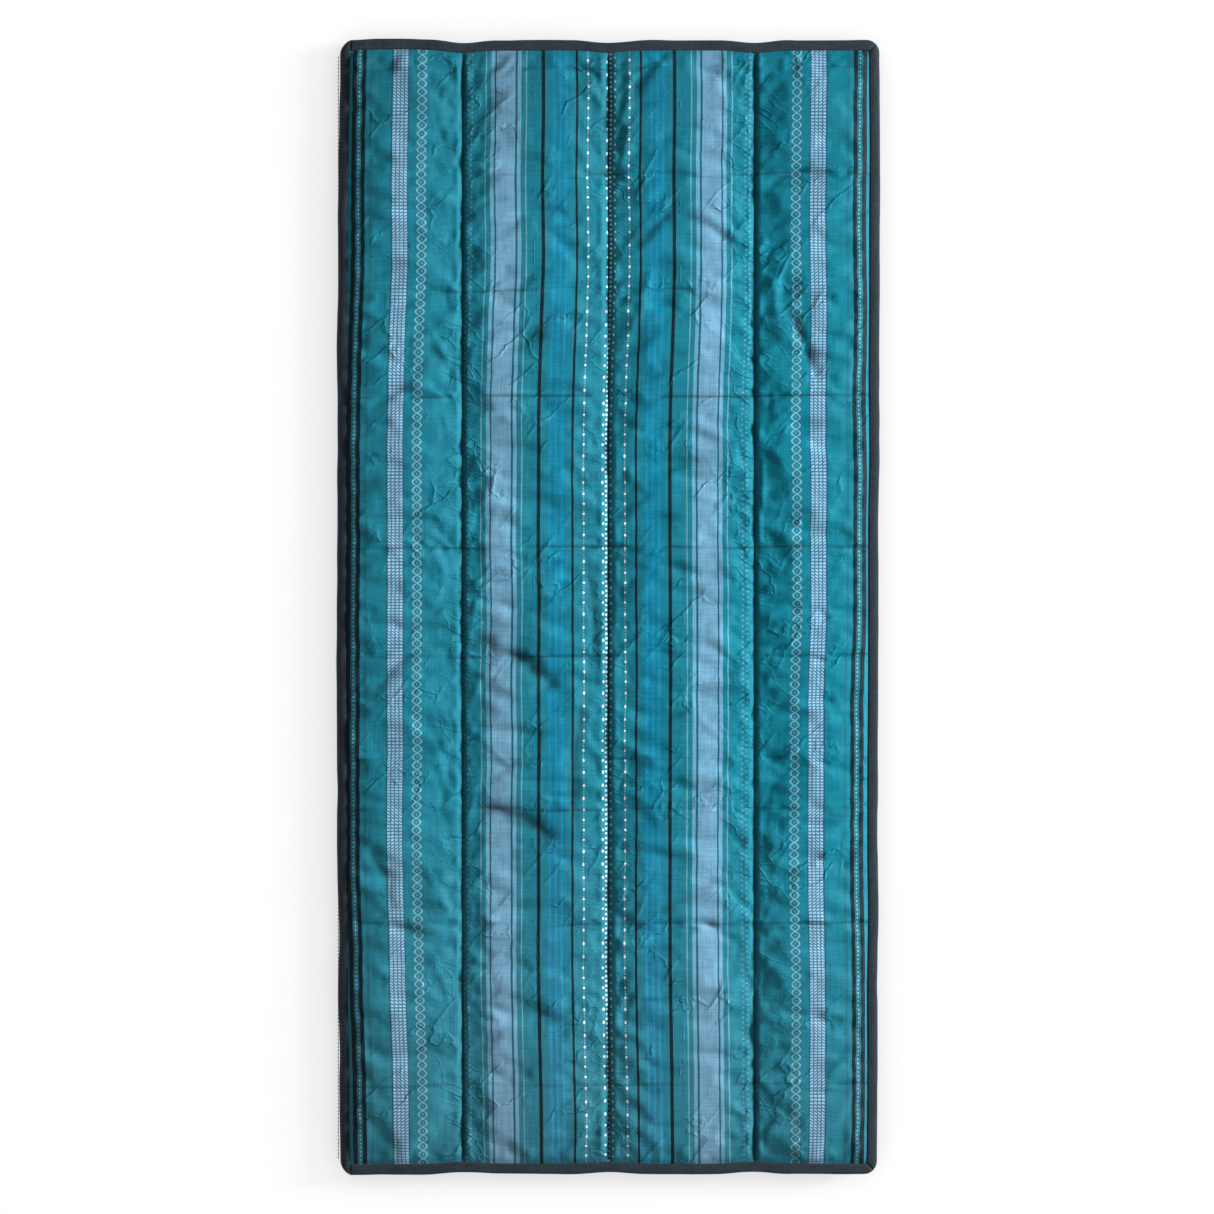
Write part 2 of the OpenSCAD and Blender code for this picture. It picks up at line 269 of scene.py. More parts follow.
# Puckers beside the seams: pitch along the seam, depth in mm, and reach from the seam
PUCKERS = [(0.013, 1.7, 0.018), (0.030, 2.2, 0.040), (0.008, 0.8, 0.012)]

# The folds are built a little higher and narrower than listed, among many small random ones
FOLD_HEIGHT = 1.4
FOLD_WIDTH = 0.9
RANDOM_FOLDS = 520
FOLD_REACH = 0.12


def fold_ridge(x, y, x0, y0, x1, y1, height, width, bend, seed):
    """One soft fold along a line that is slightly bent, fading towards both ends."""
    run = math.hypot(x1 - x0, y1 - y0)
    along_x, along_y = (x1 - x0) / run, (y1 - y0) / run
    s = ((x - x0) * along_x + (y - y0) * along_y) / run
    off = -(x - x0) * along_y + (y - y0) * along_x
    off = off - bend * run * np.sin(np.clip(s, 0, 1) * math.pi)
    off = off + 0.35 * width * ripple(s * run, 0.03, seed)
    fade = smooth((s + 0.05) / 0.3) * smooth((1.05 - s) / 0.4)
    sharp = np.abs(off) / width
    return height * fade * np.exp(-np.minimum(sharp, 8) ** 1.5)


def random_folds(rng, count, reach):
    """Short folds that fan out from the seams, leaning the way pulled cloth does."""
    for _ in range(count):
        seam = SEAMS[rng.integers(3)]
        side = rng.choice((-1, 1))
        start = rng.uniform(0.004, 0.03)
        run = rng.uniform(0.025, reach)
        lean = rng.normal(0.35, 0.5)
        y0 = rng.uniform(-0.91, 0.91)
        x0 = seam + side * start
        x1 = x0 + side * run * math.cos(lean)
        y1 = y0 + run * math.sin(lean)
        height = rng.choice((-1, 1)) * rng.uniform(0.8, 3.0) * MM
        yield x0, y0, x1, y1, height, rng.uniform(3.2, 7) * MM, rng.uniform(-0.08, 0.08)


def wrinkles(x, y, seed, folds):
    """Height of the cloth's own creases over its smooth channels."""
    rng = np.random.default_rng(seed)
    rise = np.zeros_like(x)
    seam = nearest_seam(x, SEAMS)
    from_seam = np.abs(seam)
    # Puckers where the stitching gathers the cloth
    for k, (pitch, depth, reach) in enumerate(PUCKERS):
        side = np.where(seam > 0, 1.0, 7.0)
        slant = 0.55 * waves(y, side, 0.22, 1, seed + 31 + k)
        pattern = creases(y + slant * from_seam, side + 3 * np.round(x / 0.246), pitch, 1, seed + 41 + k)
        local = 0.6 + 0.6 * waves(y, side, 0.15, 1, seed + 51 + k)
        rise += depth * MM * local * pattern * np.exp(-from_seam / reach) * smooth(from_seam / 0.004)
    # Broad soft hills of the batting
    rise += 1.8 * MM * waves(x, y, 0.075, 0.13, seed + 1)
    rise += 1.0 * MM * waves(x + 0.4 * y, y - 0.4 * x, 0.035, 0.075, seed + 2)
    # Fine slack in the cloth, drawn out along slanted lines
    slack = creases(x * 0.9 + y * 0.45, y - x * 0.5, 0.085, 0.026, seed + 3)
    rise += 0.8 * MM * slack * smooth(0.5 + 1.2 * waves(x, y, 0.10, 0.10, seed + 4))
    cross = creases(x * 0.8 - y * 0.5, y + x * 0.7, 0.070, 0.034, seed + 5)
    rise += 0.7 * MM * cross * smooth(0.4 + 1.2 * waves(x, y, 0.09, 0.12, seed + 6))
    for item in random_folds(rng, RANDOM_FOLDS, FOLD_REACH):
        rise += fold_ridge(x, y, *item, seed + rng.integers(900))
    for k, (x0, y0, x1, y1, height, width) in enumerate(folds):
        line = (x0, y0, x1, y1)
        size = (FOLD_HEIGHT * height * MM, FOLD_WIDTH * width * MM)
        rise += fold_ridge(x, y, *line, *size, fold_bend(k), seed + 70 + k)
    return rise


def fold_bend(k):
    """The named folds bend a little, to one side and the other in turn."""
    return 0.06 * (-1) ** k


def from_pressed(x, y, place, seed):
    """Distance along the bag from a pressed crease, which wanders a little on its way across."""
    wander = 2.5 * MM * ripple(x, 0.10, seed)
    return y - place - wander - 0.006 * x


def pressed_lines(x, y, seed):
    """Thin straight creases across the width, which wander a little and come and go."""
    rise = np.zeros_like(x)
    for k, (place, strength) in enumerate(PRESSED):
        off = from_pressed(x, y, place, seed + 90 + k)
        shown = smooth(0.55 + 0.9 * ripple(x, 0.09, seed + 110 + k))
        rise -= 2.2 * MM * strength * shown * np.exp(-(np.abs(off) / (2.8 * MM)) ** 1.3)
        rise += 0.7 * MM * strength * shown * np.exp(-((off - 8 * MM) / (7 * MM)) ** 2)
    return rise


def crease_shade_painted(x, y, seed, folds):
    """Painted shade: how much darker the cloth is painted down in its pressed creases and in the named
    valleys, from 0 to 1.
    """
    dark = np.zeros_like(x)
    for k, (place, strength) in enumerate(PRESSED):
        off = from_pressed(x, y, place, seed + 90 + k)
        shown = smooth(0.45 + 1.1 * ripple(x, 0.06, seed + 110 + k))
        dark = np.maximum(dark, 0.85 * strength * shown * np.exp(-(np.abs(off) / (1.9 * MM)) ** 1.6))
    for k, (x0, y0, x1, y1, height, width) in enumerate(folds):
        if height < 0:
            line = (x0, y0, x1, y1)
            core = fold_ridge(x, y, *line, 1.0, 0.65 * width * MM, fold_bend(k), seed + 70 + k)
            patchy = smooth(1.0 + 0.8 * waves(x, y, 0.02, 0.02, seed + 130 + k))
            dark = np.maximum(dark, min(1.0, -height / 3.5) * core * patchy)
    return dark


def channel_profile(x, y, side_reach, end_reach):
    """0 at the seams and the rim, and nearly 1 over the flat middle of each channel."""
    from_seam = np.abs(nearest_seam(x, SEAMS))
    from_side = np.maximum(QUILT_X - np.abs(x), 0)
    from_end = np.maximum(QUILT_Y - np.abs(y), 0)
    steep = (1 - np.exp(-from_seam / side_reach)) * (1 - np.exp(-from_side / (side_reach * 1.6)))
    gentle = (1 - np.exp(-from_seam / (6 * side_reach))) * (1 - np.exp(-from_side / (6 * side_reach)))
    return (0.72 * steep + 0.28 * gentle) * (1 - np.exp(-from_end / end_reach))


# ---- Cloth simulation of one panel's slack shell ----

SIM_STEP = 8 * MM
SIM_FRAMES = 14
SWELL_LINES = 6
SLACK_LIMIT = 4 * MM


def simulate_slack(name, seed):
    """Blender's Cloth on a panel pinned along its seams: it swells and its extra length wrinkles.
    Gives the sideways, lengthways and upward moves on an even grid."""
    xs = np.linspace(-QUILT_X, QUILT_X, int(2 * QUILT_X / SIM_STEP) + 1)
    ys = np.linspace(-QUILT_Y, QUILT_Y, int(2 * QUILT_Y / SIM_STEP) + 1)
    x, y = np.meshgrid(xs, ys)
    z = 14 * MM * channel_profile(x, y, 16 * MM, 20 * MM)
    z = z + 0.6 * MM * waves(x, y, 0.03, 0.03, seed)
    start = np.stack([x, y, z], axis=-1).reshape(-1, 3)
    piece = add_mesh(name, start, grid_faces(len(ys), len(xs)))
    held = (np.abs(nearest_seam(x, SEAMS)) < 0.6 * SIM_STEP)
    held |= (QUILT_X - np.abs(x) < 0.5 * SIM_STEP) | (QUILT_Y - np.abs(y) < 0.5 * SIM_STEP)
    group = piece.vertex_groups.new(name="held")
    group.add(np.flatnonzero(held.ravel()).tolist(), 1.0, "REPLACE")
    cloth = piece.modifiers.new("Cloth", "CLOTH")
    settings = cloth.settings
    settings.quality = 4
    settings.mass = 0.12
    settings.tension_stiffness = 18
    settings.compression_stiffness = 18
    settings.shear_stiffness = 6
    settings.bending_stiffness = 0.08
    settings.air_damping = 4
    settings.use_pressure = True
    settings.uniform_pressure_force = 1.2
    settings.vertex_group_mass = "held"
    settings.shrink_min = -0.035
    settings.effector_weights.gravity = 0
    cloth.collision_settings.use_collision = False
    scene = bpy.context.scene
    scene.frame_start = 1
    scene.frame_end = SIM_FRAMES
    cloth.point_cache.frame_start = 1
    cloth.point_cache.frame_end = SIM_FRAMES
    for step in range(1, SIM_FRAMES + 1):
        scene.frame_set(step)
    settled = piece.evaluated_get(bpy.context.evaluated_depsgraph_get()).to_mesh()
    end = np.empty(len(settled.vertices) * 3)
    settled.vertices.foreach_get("co", end)
    bpy.data.objects.remove(piece)
    scene.frame_set(1)
    moves = (end.reshape(-1, 3) - start).reshape(len(ys), len(xs), 3)
    return xs, ys, moves


def blur(values, radius):
    """Smooths a grid of values with a box of that radius, twice, each way."""
    for axis in (0, 1, 0, 1):
        pad = [(0, 0)] * values.ndim
        pad[axis] = (radius + 1, radius)
        total = np.cumsum(np.pad(values, pad, mode="edge"), axis=axis)
        span = 2 * radius + 1
        size = values.shape[axis]
        top = np.take(total, np.arange(span, span + size), axis=axis)
        bottom = np.take(total, np.arange(size), axis=axis)
        values = (top - bottom) / span
    return values


def slack_on(grid_x, grid_y, simulated, keep):
    """The simulated wrinkles at other grid lines, without the broad swelling."""
    xs, ys, moves = simulated
    fine = moves - blur(moves, SWELL_LINES)
    fine = np.clip(fine, -SLACK_LIMIT, SLACK_LIMIT) * keep
    across = cubic_weights(np.clip(grid_x, xs[0], xs[-1]), xs)
    along = cubic_weights(np.clip(grid_y, ys[0], ys[-1]), ys)
    return np.einsum("ij,jkc,lk->ilc", along, fine, across, optimize=True)


# ---- Grid lines and skins ----

def graded_lines(fine, coarse, reach):
    """Grid lines across the bag, close together beside each seam and side, on every seam."""
    lines = []
    stops = [low("top_shell").x] + SEAMS + [RIM_X]
    for a, b in zip(stops, stops[1:]):
        half = (b - a) / 2
        steps = [0.0]
        while steps[-1] < half:
            steps.append(steps[-1] + fine + (coarse - fine) * min(1, steps[-1] / reach))
        steps = np.array(steps) / steps[-1] * half
        lines += list(a + steps[:-1]) + list((b - steps)[::-1][:-1])
    return np.array(lines + [stops[-1]])


def crease_lines(fine, coarse, reach):
    """Grid lines along the bag, close together beside each pressed crease and at both ends."""
    lines = [-RIM_Y]
    places = np.array([-RIM_Y, RIM_Y] + [place for place, _ in PRESSED])
    while lines[-1] < RIM_Y:
        away = np.abs(places - lines[-1]).min()
        lines.append(lines[-1] + fine + (coarse - fine) * float(smooth((away - 0.4 * reach) / reach)))
    lines = np.array(lines)
    return -RIM_Y + (lines + RIM_Y) * 2 * RIM_Y / (lines[-1] + RIM_Y)


def skin_heights(x, y, rest_z, rise, rim_z):
    """Height of a skin: at rest_z on its seams, risen in between, and at rim_z inside the binding."""
    past = np.maximum(np.abs(x) - QUILT_X, np.abs(y) - QUILT_Y) / (4 * MM)
    return rest_z + (rim_z - rest_z) * smooth(1 + past) + rise * (1 - smooth(past + 0.4))


def lowest_nearby(height, reach):
    """The lowest of each point's neighbours, up to reach grid lines away each way."""
    for axis, size in enumerate(height.shape):
        places = [np.clip(np.arange(size) + k, 0, size - 1) for k in range(-reach, reach + 1)]
        height = np.min([np.take(height, place, axis=axis) for place in places], axis=0)
    return height


def closed_skin(name, points, flat, outward, thickness):
    """A thin closed cloth: a fine outer face, and an inner face with every third line."""
    rows, columns = points.shape[:2]
    top = points.reshape(-1, 3)
    kept = np.ix_(np.arange(0, rows, 3), np.arange(0, columns, 3))
    inner = points.copy()
    height = lowest_nearby(points[..., 2] * outward, 3)
    inner[..., 2] = (height - thickness) * outward
    inner = inner[kept]
    base = rows * columns
    faces = grid_faces(rows, columns, flip=outward < 0)
    faces += grid_faces(*inner.shape[:2], first=base, flip=outward > 0)

    def rim(outer, inner_side, flip):
        for k in range(len(inner_side) - 1):
            ring = list(outer[3 * k:3 * k + 4]) + [inner_side[k + 1], inner_side[k]]
            faces.append(tuple(ring[::-1] if flip else ring))

    small = base + np.arange(inner.shape[0] * inner.shape[1]).reshape(inner.shape[:2])
    big = np.arange(base).reshape(rows, columns)
    rim(big[0], small[0], outward > 0)
    rim(big[-1], small[-1], outward < 0)
    rim(big[:, 0], small[:, 0], outward < 0)
    rim(big[:, -1], small[:, -1], outward > 0)
    flat_inner = flat[kept].reshape(-1, 2)
    every = np.concatenate([top, inner.reshape(-1, 3)])
    return add_mesh(name, every, faces, np.concatenate([flat.reshape(-1, 2), flat_inner]))


def trim_to_thirds(lines):
    """Adds lines at the end until every third line reaches the edge."""
    lines = list(lines)
    while (len(lines) - 1) % 3:
        widest = int(np.argmax(np.diff(lines)))
        lines.insert(widest + 1, (lines[widest] + lines[widest + 1]) / 2)
    return np.array(lines)


def rounded_corners(x, y):
    """Draws a skin's four corners in, so that they stay inside the binding's rounded corners."""
    over_x = np.abs(x) - (HALF_W - CORNER_R)
    over_y = np.abs(y) - (HALF_L - CORNER_R)
    reach = np.hypot(np.maximum(over_x, 0), np.maximum(over_y, 0))
    limit = CORNER_R - 6.5 * MM
    corner = (over_x > 0) & (over_y > 0) & (reach > limit)
    scale = np.where(corner, limit / np.maximum(reach, 1e-9), 1.0)
    round_x = np.where(corner, np.sign(x) * (HALF_W - CORNER_R + over_x * scale), x)
    round_y = np.where(corner, np.sign(y) * (HALF_L - CORNER_R + over_y * scale), y)
    return round_x, round_y


def skin_surface(skin, grid_x, grid_y, simulated=None):
    """A skin's points, their places on the flat cloth, and the painted shade in its creases."""
    x, y = np.meshgrid(grid_x, grid_y)
    profile = channel_profile(x, y, skin.side_reach, skin.end_reach)
    soft = skin.amount * (wrinkles(x, y, skin.seed, skin.folds) + pressed_lines(x, y, skin.seed))
    side = np.zeros_like(x)
    lengthways = np.zeros_like(x)
    if simulated is not None and skin.keep > 0:
        moves = slack_on(grid_x, grid_y, simulated, skin.keep)
        inside = smooth(profile * 1.5)
        soft = soft + moves[..., 2] * inside
        side = 0.4 * moves[..., 0] * inside
        lengthways = 0.4 * moves[..., 1] * inside
    rise = skin.rise * profile + soft * smooth(profile * 1.6)
    rise = np.clip(rise, 0.0, skin.rise + 4.0 * MM * skin.amount)
    z = skin_heights(x, y, skin.rest_z, skin.outward * rise, skin.rim_z)
    shift_x, shift_y = outline_shift(x, y)
    round_x, round_y = rounded_corners(x, y)
    points = np.stack([round_x + shift_x + side, round_y + shift_y + lengthways, z], axis=-1)
    flat = np.stack([x - cloth_drift(x, y), y], axis=-1)
    # Painted shade down in the creases and fold valleys
    shade_in_creases = skin.amount * crease_shade_painted(x, y, skin.seed, skin.folds)
    return points, flat, shade_in_creases


def cloth_drift(x, y):
    """How far the woven stripes stray sideways from a straight, centred pattern, in metres."""
    middle = 0.3 - 7.2 * smooth((0.62 - y) / 0.35) + 4.0 * smooth((-0.55 - y) / 0.35)
    left = middle + 3.9 + 5.0 * smooth((-0.40 - y) / 0.4)
    right = -3.0 + 2.2 * ripple(y, 0.16, 61)
    outside = smooth((np.abs(x) - 0.20) / 0.10)
    drift = middle * (1 - outside) + np.where(x < 0, left, right) * outside
    return MM * (drift + 1.0 * waves(x, y, 0.2, 0.12, 62))


# Each quilted face: its height on the seams and at the rim, how far it rises between them and how
# steeply, which way it faces, and how much it creases (amount) and takes from the simulation (keep)
TOP_SHELL = Skin(
    rest_z=TOP_SEAM_Z + 0.8 * MM, rise=TOP_Z - TOP_SEAM_Z - 4 * MM, rim_z=TOP_SEAM_Z + 1.7 * MM,
    outward=1, side_reach=3.4 * MM, end_reach=10 * MM, seed=5, folds=FOLDS, amount=1.0, keep=1.0)
BOTTOM_SHELL = Skin(
    rest_z=BOTTOM_SEAM_Z - 0.6 * MM, rise=BOTTOM_SEAM_Z - 2.0 * MM, rim_z=BOTTOM_SEAM_Z - 0.4 * MM,
    outward=-1, side_reach=14 * MM, end_reach=18 * MM, seed=6, folds=(), amount=0.35, keep=0.0)
TOP_LINING = Skin(
    rest_z=TOP_SEAM_Z - 0.6 * MM, rise=TOP_SEAM_Z - 2.0 * MM - TOP_LINING_Z, rim_z=TOP_SEAM_Z - 0.6 * MM,
    outward=-1, side_reach=16 * MM, end_reach=20 * MM, seed=7, folds=(), amount=0.3, keep=0.0)
BOTTOM_LINING = Skin(
    rest_z=BOTTOM_SEAM_Z + 1.2 * MM, rise=BOTTOM_LINING_Z - BOTTOM_SEAM_Z - 3.4 * MM,
    rim_z=BOTTOM_SEAM_Z + 1.0 * MM,
    outward=1, side_reach=14 * MM, end_reach=22 * MM, seed=8, folds=(), amount=0.7, keep=0.35)


# ---- Materials ----

def colour(red, green, blue, gain=1.0):
    """A screen colour, 0 to 255 each, as the linear colour that shaders take."""
    parts = [value / 255 for value in (red, green, blue)]
    bright = [p / 12.92 if p <= 0.04045 else ((p + 0.055) / 1.055) ** 2.4 for p in parts]
    return tuple(min(1.0, p * gain) for p in bright) + (1.0,)


CLOTH_GAIN = 0.62


def dye(red, green, blue):
    """A thread colour as seen in the studio light, as its own reflectance."""
    return colour(red, green, blue, CLOTH_GAIN)


TEAL = dye(22, 126, 147)
DEEP_TEAL = dye(30, 112, 128)
BRIGHT_BLUE = dye(0, 142, 186)
LIGHT_BLUE = dye(112, 164, 194)
DARK_TEAL = dye(28, 86, 106)
NEAR_BLACK = dye(8, 36, 46)
BEIGE = dye(112, 164, 180)
PALE = dye(160, 200, 216)
WHITE_THREAD = dye(250, 255, 255)
LINING_GREY = dye(70, 78, 86)


class Graph:
    """Builds a material's nodes. Every input may be a number, a colour or another node's output."""

    def __init__(self, name):
        self.material = bpy.data.materials.new(name)
        self.material.use_nodes = True
        self.nodes = self.material.node_tree.nodes
        self.links = self.material.node_tree.links
        self.shader = self.nodes["Principled BSDF"]

    def put(self, socket, value):
        if hasattr(value, "is_linked"):
            self.links.new(value, socket)
        elif value is not None:
            socket.default_value = value

    def math(self, operation, a, b=None):
        node = self.node("Math")
        node.operation = operation
        for socket, value in zip(node.inputs, (a, b)):
            self.put(socket, value)
        return node.outputs[0]

    def add(self, a, b):
        return self.math("ADD", a, b)

    def sub(self, a, b):
        return self.math("SUBTRACT", a, b)

    def mul(self, a, b):
        return self.math("MULTIPLY", a, b)

    def gap(self, a, b):
        """How far a is from b, never negative."""
        return self.math("ABSOLUTE", self.sub(a, b))

    def node(self, kind, **inputs):
        """A new node. Its inputs are given by name, with _ for each space."""
        node = self.nodes.new("ShaderNode" + kind)
        for key, value in inputs.items():
            self.put(node.inputs[key.replace("_", " ")], value)
        return node

    def below(self, a, limit, edge):
        """1 where a is under limit, 0 above it, over an edge of that width."""
        start, end = limit + edge / 2, limit - edge / 2
        return self.node("MapRange", Value=a, From_Min=start, From_Max=end).outputs[0]

    def range(self, a, from_low, from_high, to_low, to_high):
        """a, carried from one range of values to another and kept inside it."""
        return self.node("MapRange", Value=a, From_Min=from_low, From_Max=from_high,
                         To_Min=to_low, To_Max=to_high).outputs[0]

    def mix(self, factor, a, b):
        node = self.node("Mix")
        node.data_type = "RGBA"
        self.put(node.inputs[0], factor)
        self.put(node.inputs[6], a)
        self.put(node.inputs[7], b)
        return node.outputs[2]

    def combine(self, x, y, z=0.0):
        return self.node("CombineXYZ", X=x, Y=y, Z=z).outputs[0]

    def split(self, vector):
        return self.node("SeparateXYZ", Vector=vector).outputs

    def cloth_place(self):
        """The place on the cut cloth, across and along, in metres."""
        uv = self.node("UVMap")
        uv.uv_map = "cloth"
        return self.split(uv.outputs[0])[:2]

    def object_place(self):
        return self.node("TexCoord").outputs["Object"]

    def attribute(self, name):
        """A number kept at each point of the mesh."""
        node = self.node("Attribute")
        node.attribute_name = name
        return node.outputs["Fac"]

    def noise(self, vector, scale, detail=2.0, roughness=0.5):
        node = self.node("TexNoise", Vector=vector, Scale=scale, Detail=detail, Roughness=roughness)
        return node.outputs[0]

    def grain(self, axes, per_metre, detail=2.0, roughness=0.5):
        """Noise with its own number of grains to a metre along each axis."""
        place = self.combine(*[self.mul(axis, count) for axis, count in zip(axes, per_metre)])
        return self.noise(place, 1.0, detail, roughness)

    def ramp(self, factor, stops):
        """Constant bands of colour: stops are (start, colour)."""
        node = self.node("ValToRGB")
        node.color_ramp.interpolation = "CONSTANT"
        elements = node.color_ramp.elements
        while len(elements) > 1:
            elements.remove(elements[-1])
        elements[0].position = stops[0][0]
        elements[0].color = stops[0][1]
        for start, shade in stops[1:]:
            element = elements.new(start)
            element.color = shade
        self.put(node.inputs[0], factor)
        return node.outputs[0]

    def bump(self, height, distance, strength=1.0, normal=None):
        node = self.node("Bump", Strength=strength, Distance=distance, Height=height, Normal=normal)
        return node.outputs[0]

    def surface(self, base, roughness, normal=None, sheen=0.0, metallic=0.0, specular=0.3):
        for key, value in (
            ("Base Color", base), ("Roughness", roughness), ("Normal", normal), ("Metallic", metallic),
            ("Specular IOR Level", specular), ("Sheen Weight", sheen), ("Sheen Roughness", 0.45),
        ):
            self.put(self.shader.inputs[key], value)
        return self.material


# Woven stripes, mirrored about the middle: distance of the stripe's centre, width, colour
STRIPES = [
    (53.3, 4.6, NEAR_BLACK), (70.6, 3.4, BRIGHT_BLUE), (81.2, 3.4, BRIGHT_BLUE), (91.1, 3.4, BRIGHT_BLUE),
    (109.9, 5.0, NEAR_BLACK), (138.0, 2.4, BEIGE), (150.3, 5.7, LIGHT_BLUE),
    (155.1, 2.2, DARK_TEAL), (172.6, 31.8, LIGHT_BLUE), (190.1, 2.2, DARK_TEAL), (195.1, 5.7, LIGHT_BLUE),
    (206.6, 2.4, BEIGE),
]
OUTER_STRIPES = [
    (341.0, 1.6, DARK_TEAL), (368.0, 1.6, DARK_TEAL), (404.0, 5.0, DEEP_TEAL),
    (416.2, 7.0, NEAR_BLACK), (424.4, 8.0, DEEP_TEAL), (432.6, 7.0, NEAR_BLACK),
]
RAMP_SPAN = 250.0


def stripe_bands(g, distance, stripes, start):
    """A colour ramp that paints the stripes on the teal ground, from start for RAMP_SPAN mm."""
    stops = [(0.0, TEAL)]
    for centre, width, shade in stripes:
        for place, tone in ((centre - width / 2, shade), (centre + width / 2, TEAL)):
            where = (place - start) / RAMP_SPAN
            if abs(stops[-1][0] - where) < 0.002:
                stops[-1] = (stops[-1][0], tone)
            else:
                stops.append((where, tone))
    factor = g.math("DIVIDE", g.sub(distance, start), RAMP_SPAN)
    return g.ramp(factor, stops)


def dot_row(g, across, centre, phase, radius, long):
    """A row of dots: 1 on a dot. phase is the way through the pitch, 0 or 1 in a gap's middle."""
    side = g.math("DIVIDE", g.gap(across, centre), radius)
    lengthways = g.math("DIVIDE", g.gap(phase, 0.5), long)
    round_off = g.add(g.math("POWER", side, 2.0), g.math("POWER", lengthways, 2.0))
    return g.below(round_off, 1.0, 0.7)


def row_phase(g, along, pitch, shift=0.0):
    """The way through each step of a row that repeats every pitch mm, from 0 to 1."""
    steps = g.math("DIVIDE", along, pitch)
    return g.math("FRACT", g.add(steps, shift) if shift else steps)


def motif_phase(g, along):
    """The white dots' rhythm: four short gaps and then three longer ones, over and over."""
    repeat, half = 132.8, 66.4
    place = g.math("FLOORED_MODULO", along, repeat)
    short = row_phase(g, place, 16.6)
    wide = row_phase(g, g.sub(place, half), 22.1)
    late = g.math("GREATER_THAN", place, half)
    return g.add(g.mul(short, g.sub(1.0, late)), g.mul(wide, late))


def blue_threads(g, base, distance):
    """Fine blue threads between and beside the three bright lines."""
    zone = g.below(g.gap(distance, 80.0), 18.5, 1.0)
    line = g.below(g.gap(row_phase(g, distance, 3.6), 0.5), 0.22, 0.1)
    return g.mix(g.mul(g.mul(zone, line), 0.28), base, BRIGHT_BLUE)


def white_dots(g, base, across, along, distance):
    """White dots beside the middle seam: one row on each side, and three rows close to it."""
    rhythm = motif_phase(g, along)
    white = g.math("MAXIMUM", dot_row(g, distance, 34.9, rhythm, 1.7, 0.12),
                   dot_row(g, across, -2.5, rhythm, 1.7, 0.12))
    for row, strength in (
        (dot_row(g, across, 3.0, row_phase(g, along, 8.0), 1.7, 0.24), 0.85),
        (dot_row(g, across, 10.5, row_phase(g, along, 13.3), 1.4, 0.16), 0.6),
        (dot_row(g, distance, 34.9, row_phase(g, along, 4.2), 0.9, 0.25), 0.35),
    ):
        white = g.math("MAXIMUM", white, g.mul(row, strength))
    return g.mix(white, base, WHITE_THREAD)


def side_dots(g, base, along, distance):
    """A staggered double row beside each side seam, and a fine row near each side."""
    pair = g.math("MAXIMUM", dot_row(g, distance, 231.3, row_phase(g, along, 8.9), 1.4, 0.18),
                  dot_row(g, distance, 238.6, row_phase(g, along, 8.9, 0.5), 1.4, 0.18))
    base = g.mix(g.mul(pair, 0.75), base, BEIGE)
    fine = dot_row(g, distance, 424.5, row_phase(g, along, 7.0), 1.2, 0.25)
    return g.mix(g.mul(fine, 0.7), base, PALE)


def thread_chain(g, base, along, distance):
    """The chain: two threads that weave past each other, with a faint dot in each link."""
    centre, link, half_width = 318.5, 13.6, 7.0
    swing = g.mul(g.math("ABSOLUTE", g.math("SINE", g.mul(along, math.pi / link))), half_width)
    off = g.gap(g.gap(distance, centre), swing)
    base = g.mix(g.mul(g.below(off, 1.25, 0.9), 0.72), base, PALE)
    heart = dot_row(g, distance, centre, row_phase(g, along, link), 1.3, 0.10)
    return g.mix(g.mul(heart, 0.35), base, PALE)


def dashed_band(g, base, along, distance):
    """Four columns of slanted light dashes, whose slant turns now and then."""
    centre, half_width, column_width = 354.5, 13.0, 6.6
    inside = g.below(g.gap(distance, centre), half_width, 0.8)
    column = row_phase(g, g.sub(distance, centre - half_width), column_width)
    ribs = g.below(g.gap(column, 0.5), 0.34, 0.2)
    lean = g.mul(g.math("SINE", g.mul(along, 2 * math.pi / 150.0)), 5.0)
    dash = g.math("SINE", g.add(g.mul(along, 2 * math.pi / 5.2), g.mul(column, lean)))
    light = g.range(dash, -0.6, 0.5, 0.05, 1.0)
    band = g.mix(g.mul(light, ribs), dye(54, 124, 154), dye(176, 208, 236))
    return g.mix(inside, base, band)


def painted_shade_factor(g, u, v, from_seam):
    """How much of the cloth's colour is kept: less under the painted shade in its seam grooves and
    creases, and more in the middle of the bag than at its ends.
    """
    # Painted shade in the seam grooves: a thin line on one side, blotches on the other
    blotch = g.grain((u, v), (70.0, 45.0), 4.0, 0.65)
    left_unshaded = g.range(g.mul(from_seam, -1.0), 0.0010, 0.0022, 0.5, 1.0)
    spread = g.range(blotch, 0.35, 0.65, 0.003, 0.012)
    right_unshaded = g.range(g.math("DIVIDE", from_seam, spread), 0.15, 1.0, 0.5, 1.0)
    right_unshaded = g.mul(right_unshaded, g.math("GREATER_THAN", from_seam, 0.0))
    unshaded = g.math("MAXIMUM", left_unshaded, right_unshaded)
    # Painted shade down in the creases
    unshaded = g.mul(unshaded, g.range(g.attribute("crease_shade_painted"), 0.0, 1.0, 1.0, 0.22))
    # Both ends of the bag are a little darker than its middle
    return g.mul(unshaded, g.range(g.math("ABSOLUTE", v), 0.62, 0.93, 1.11, 0.91))


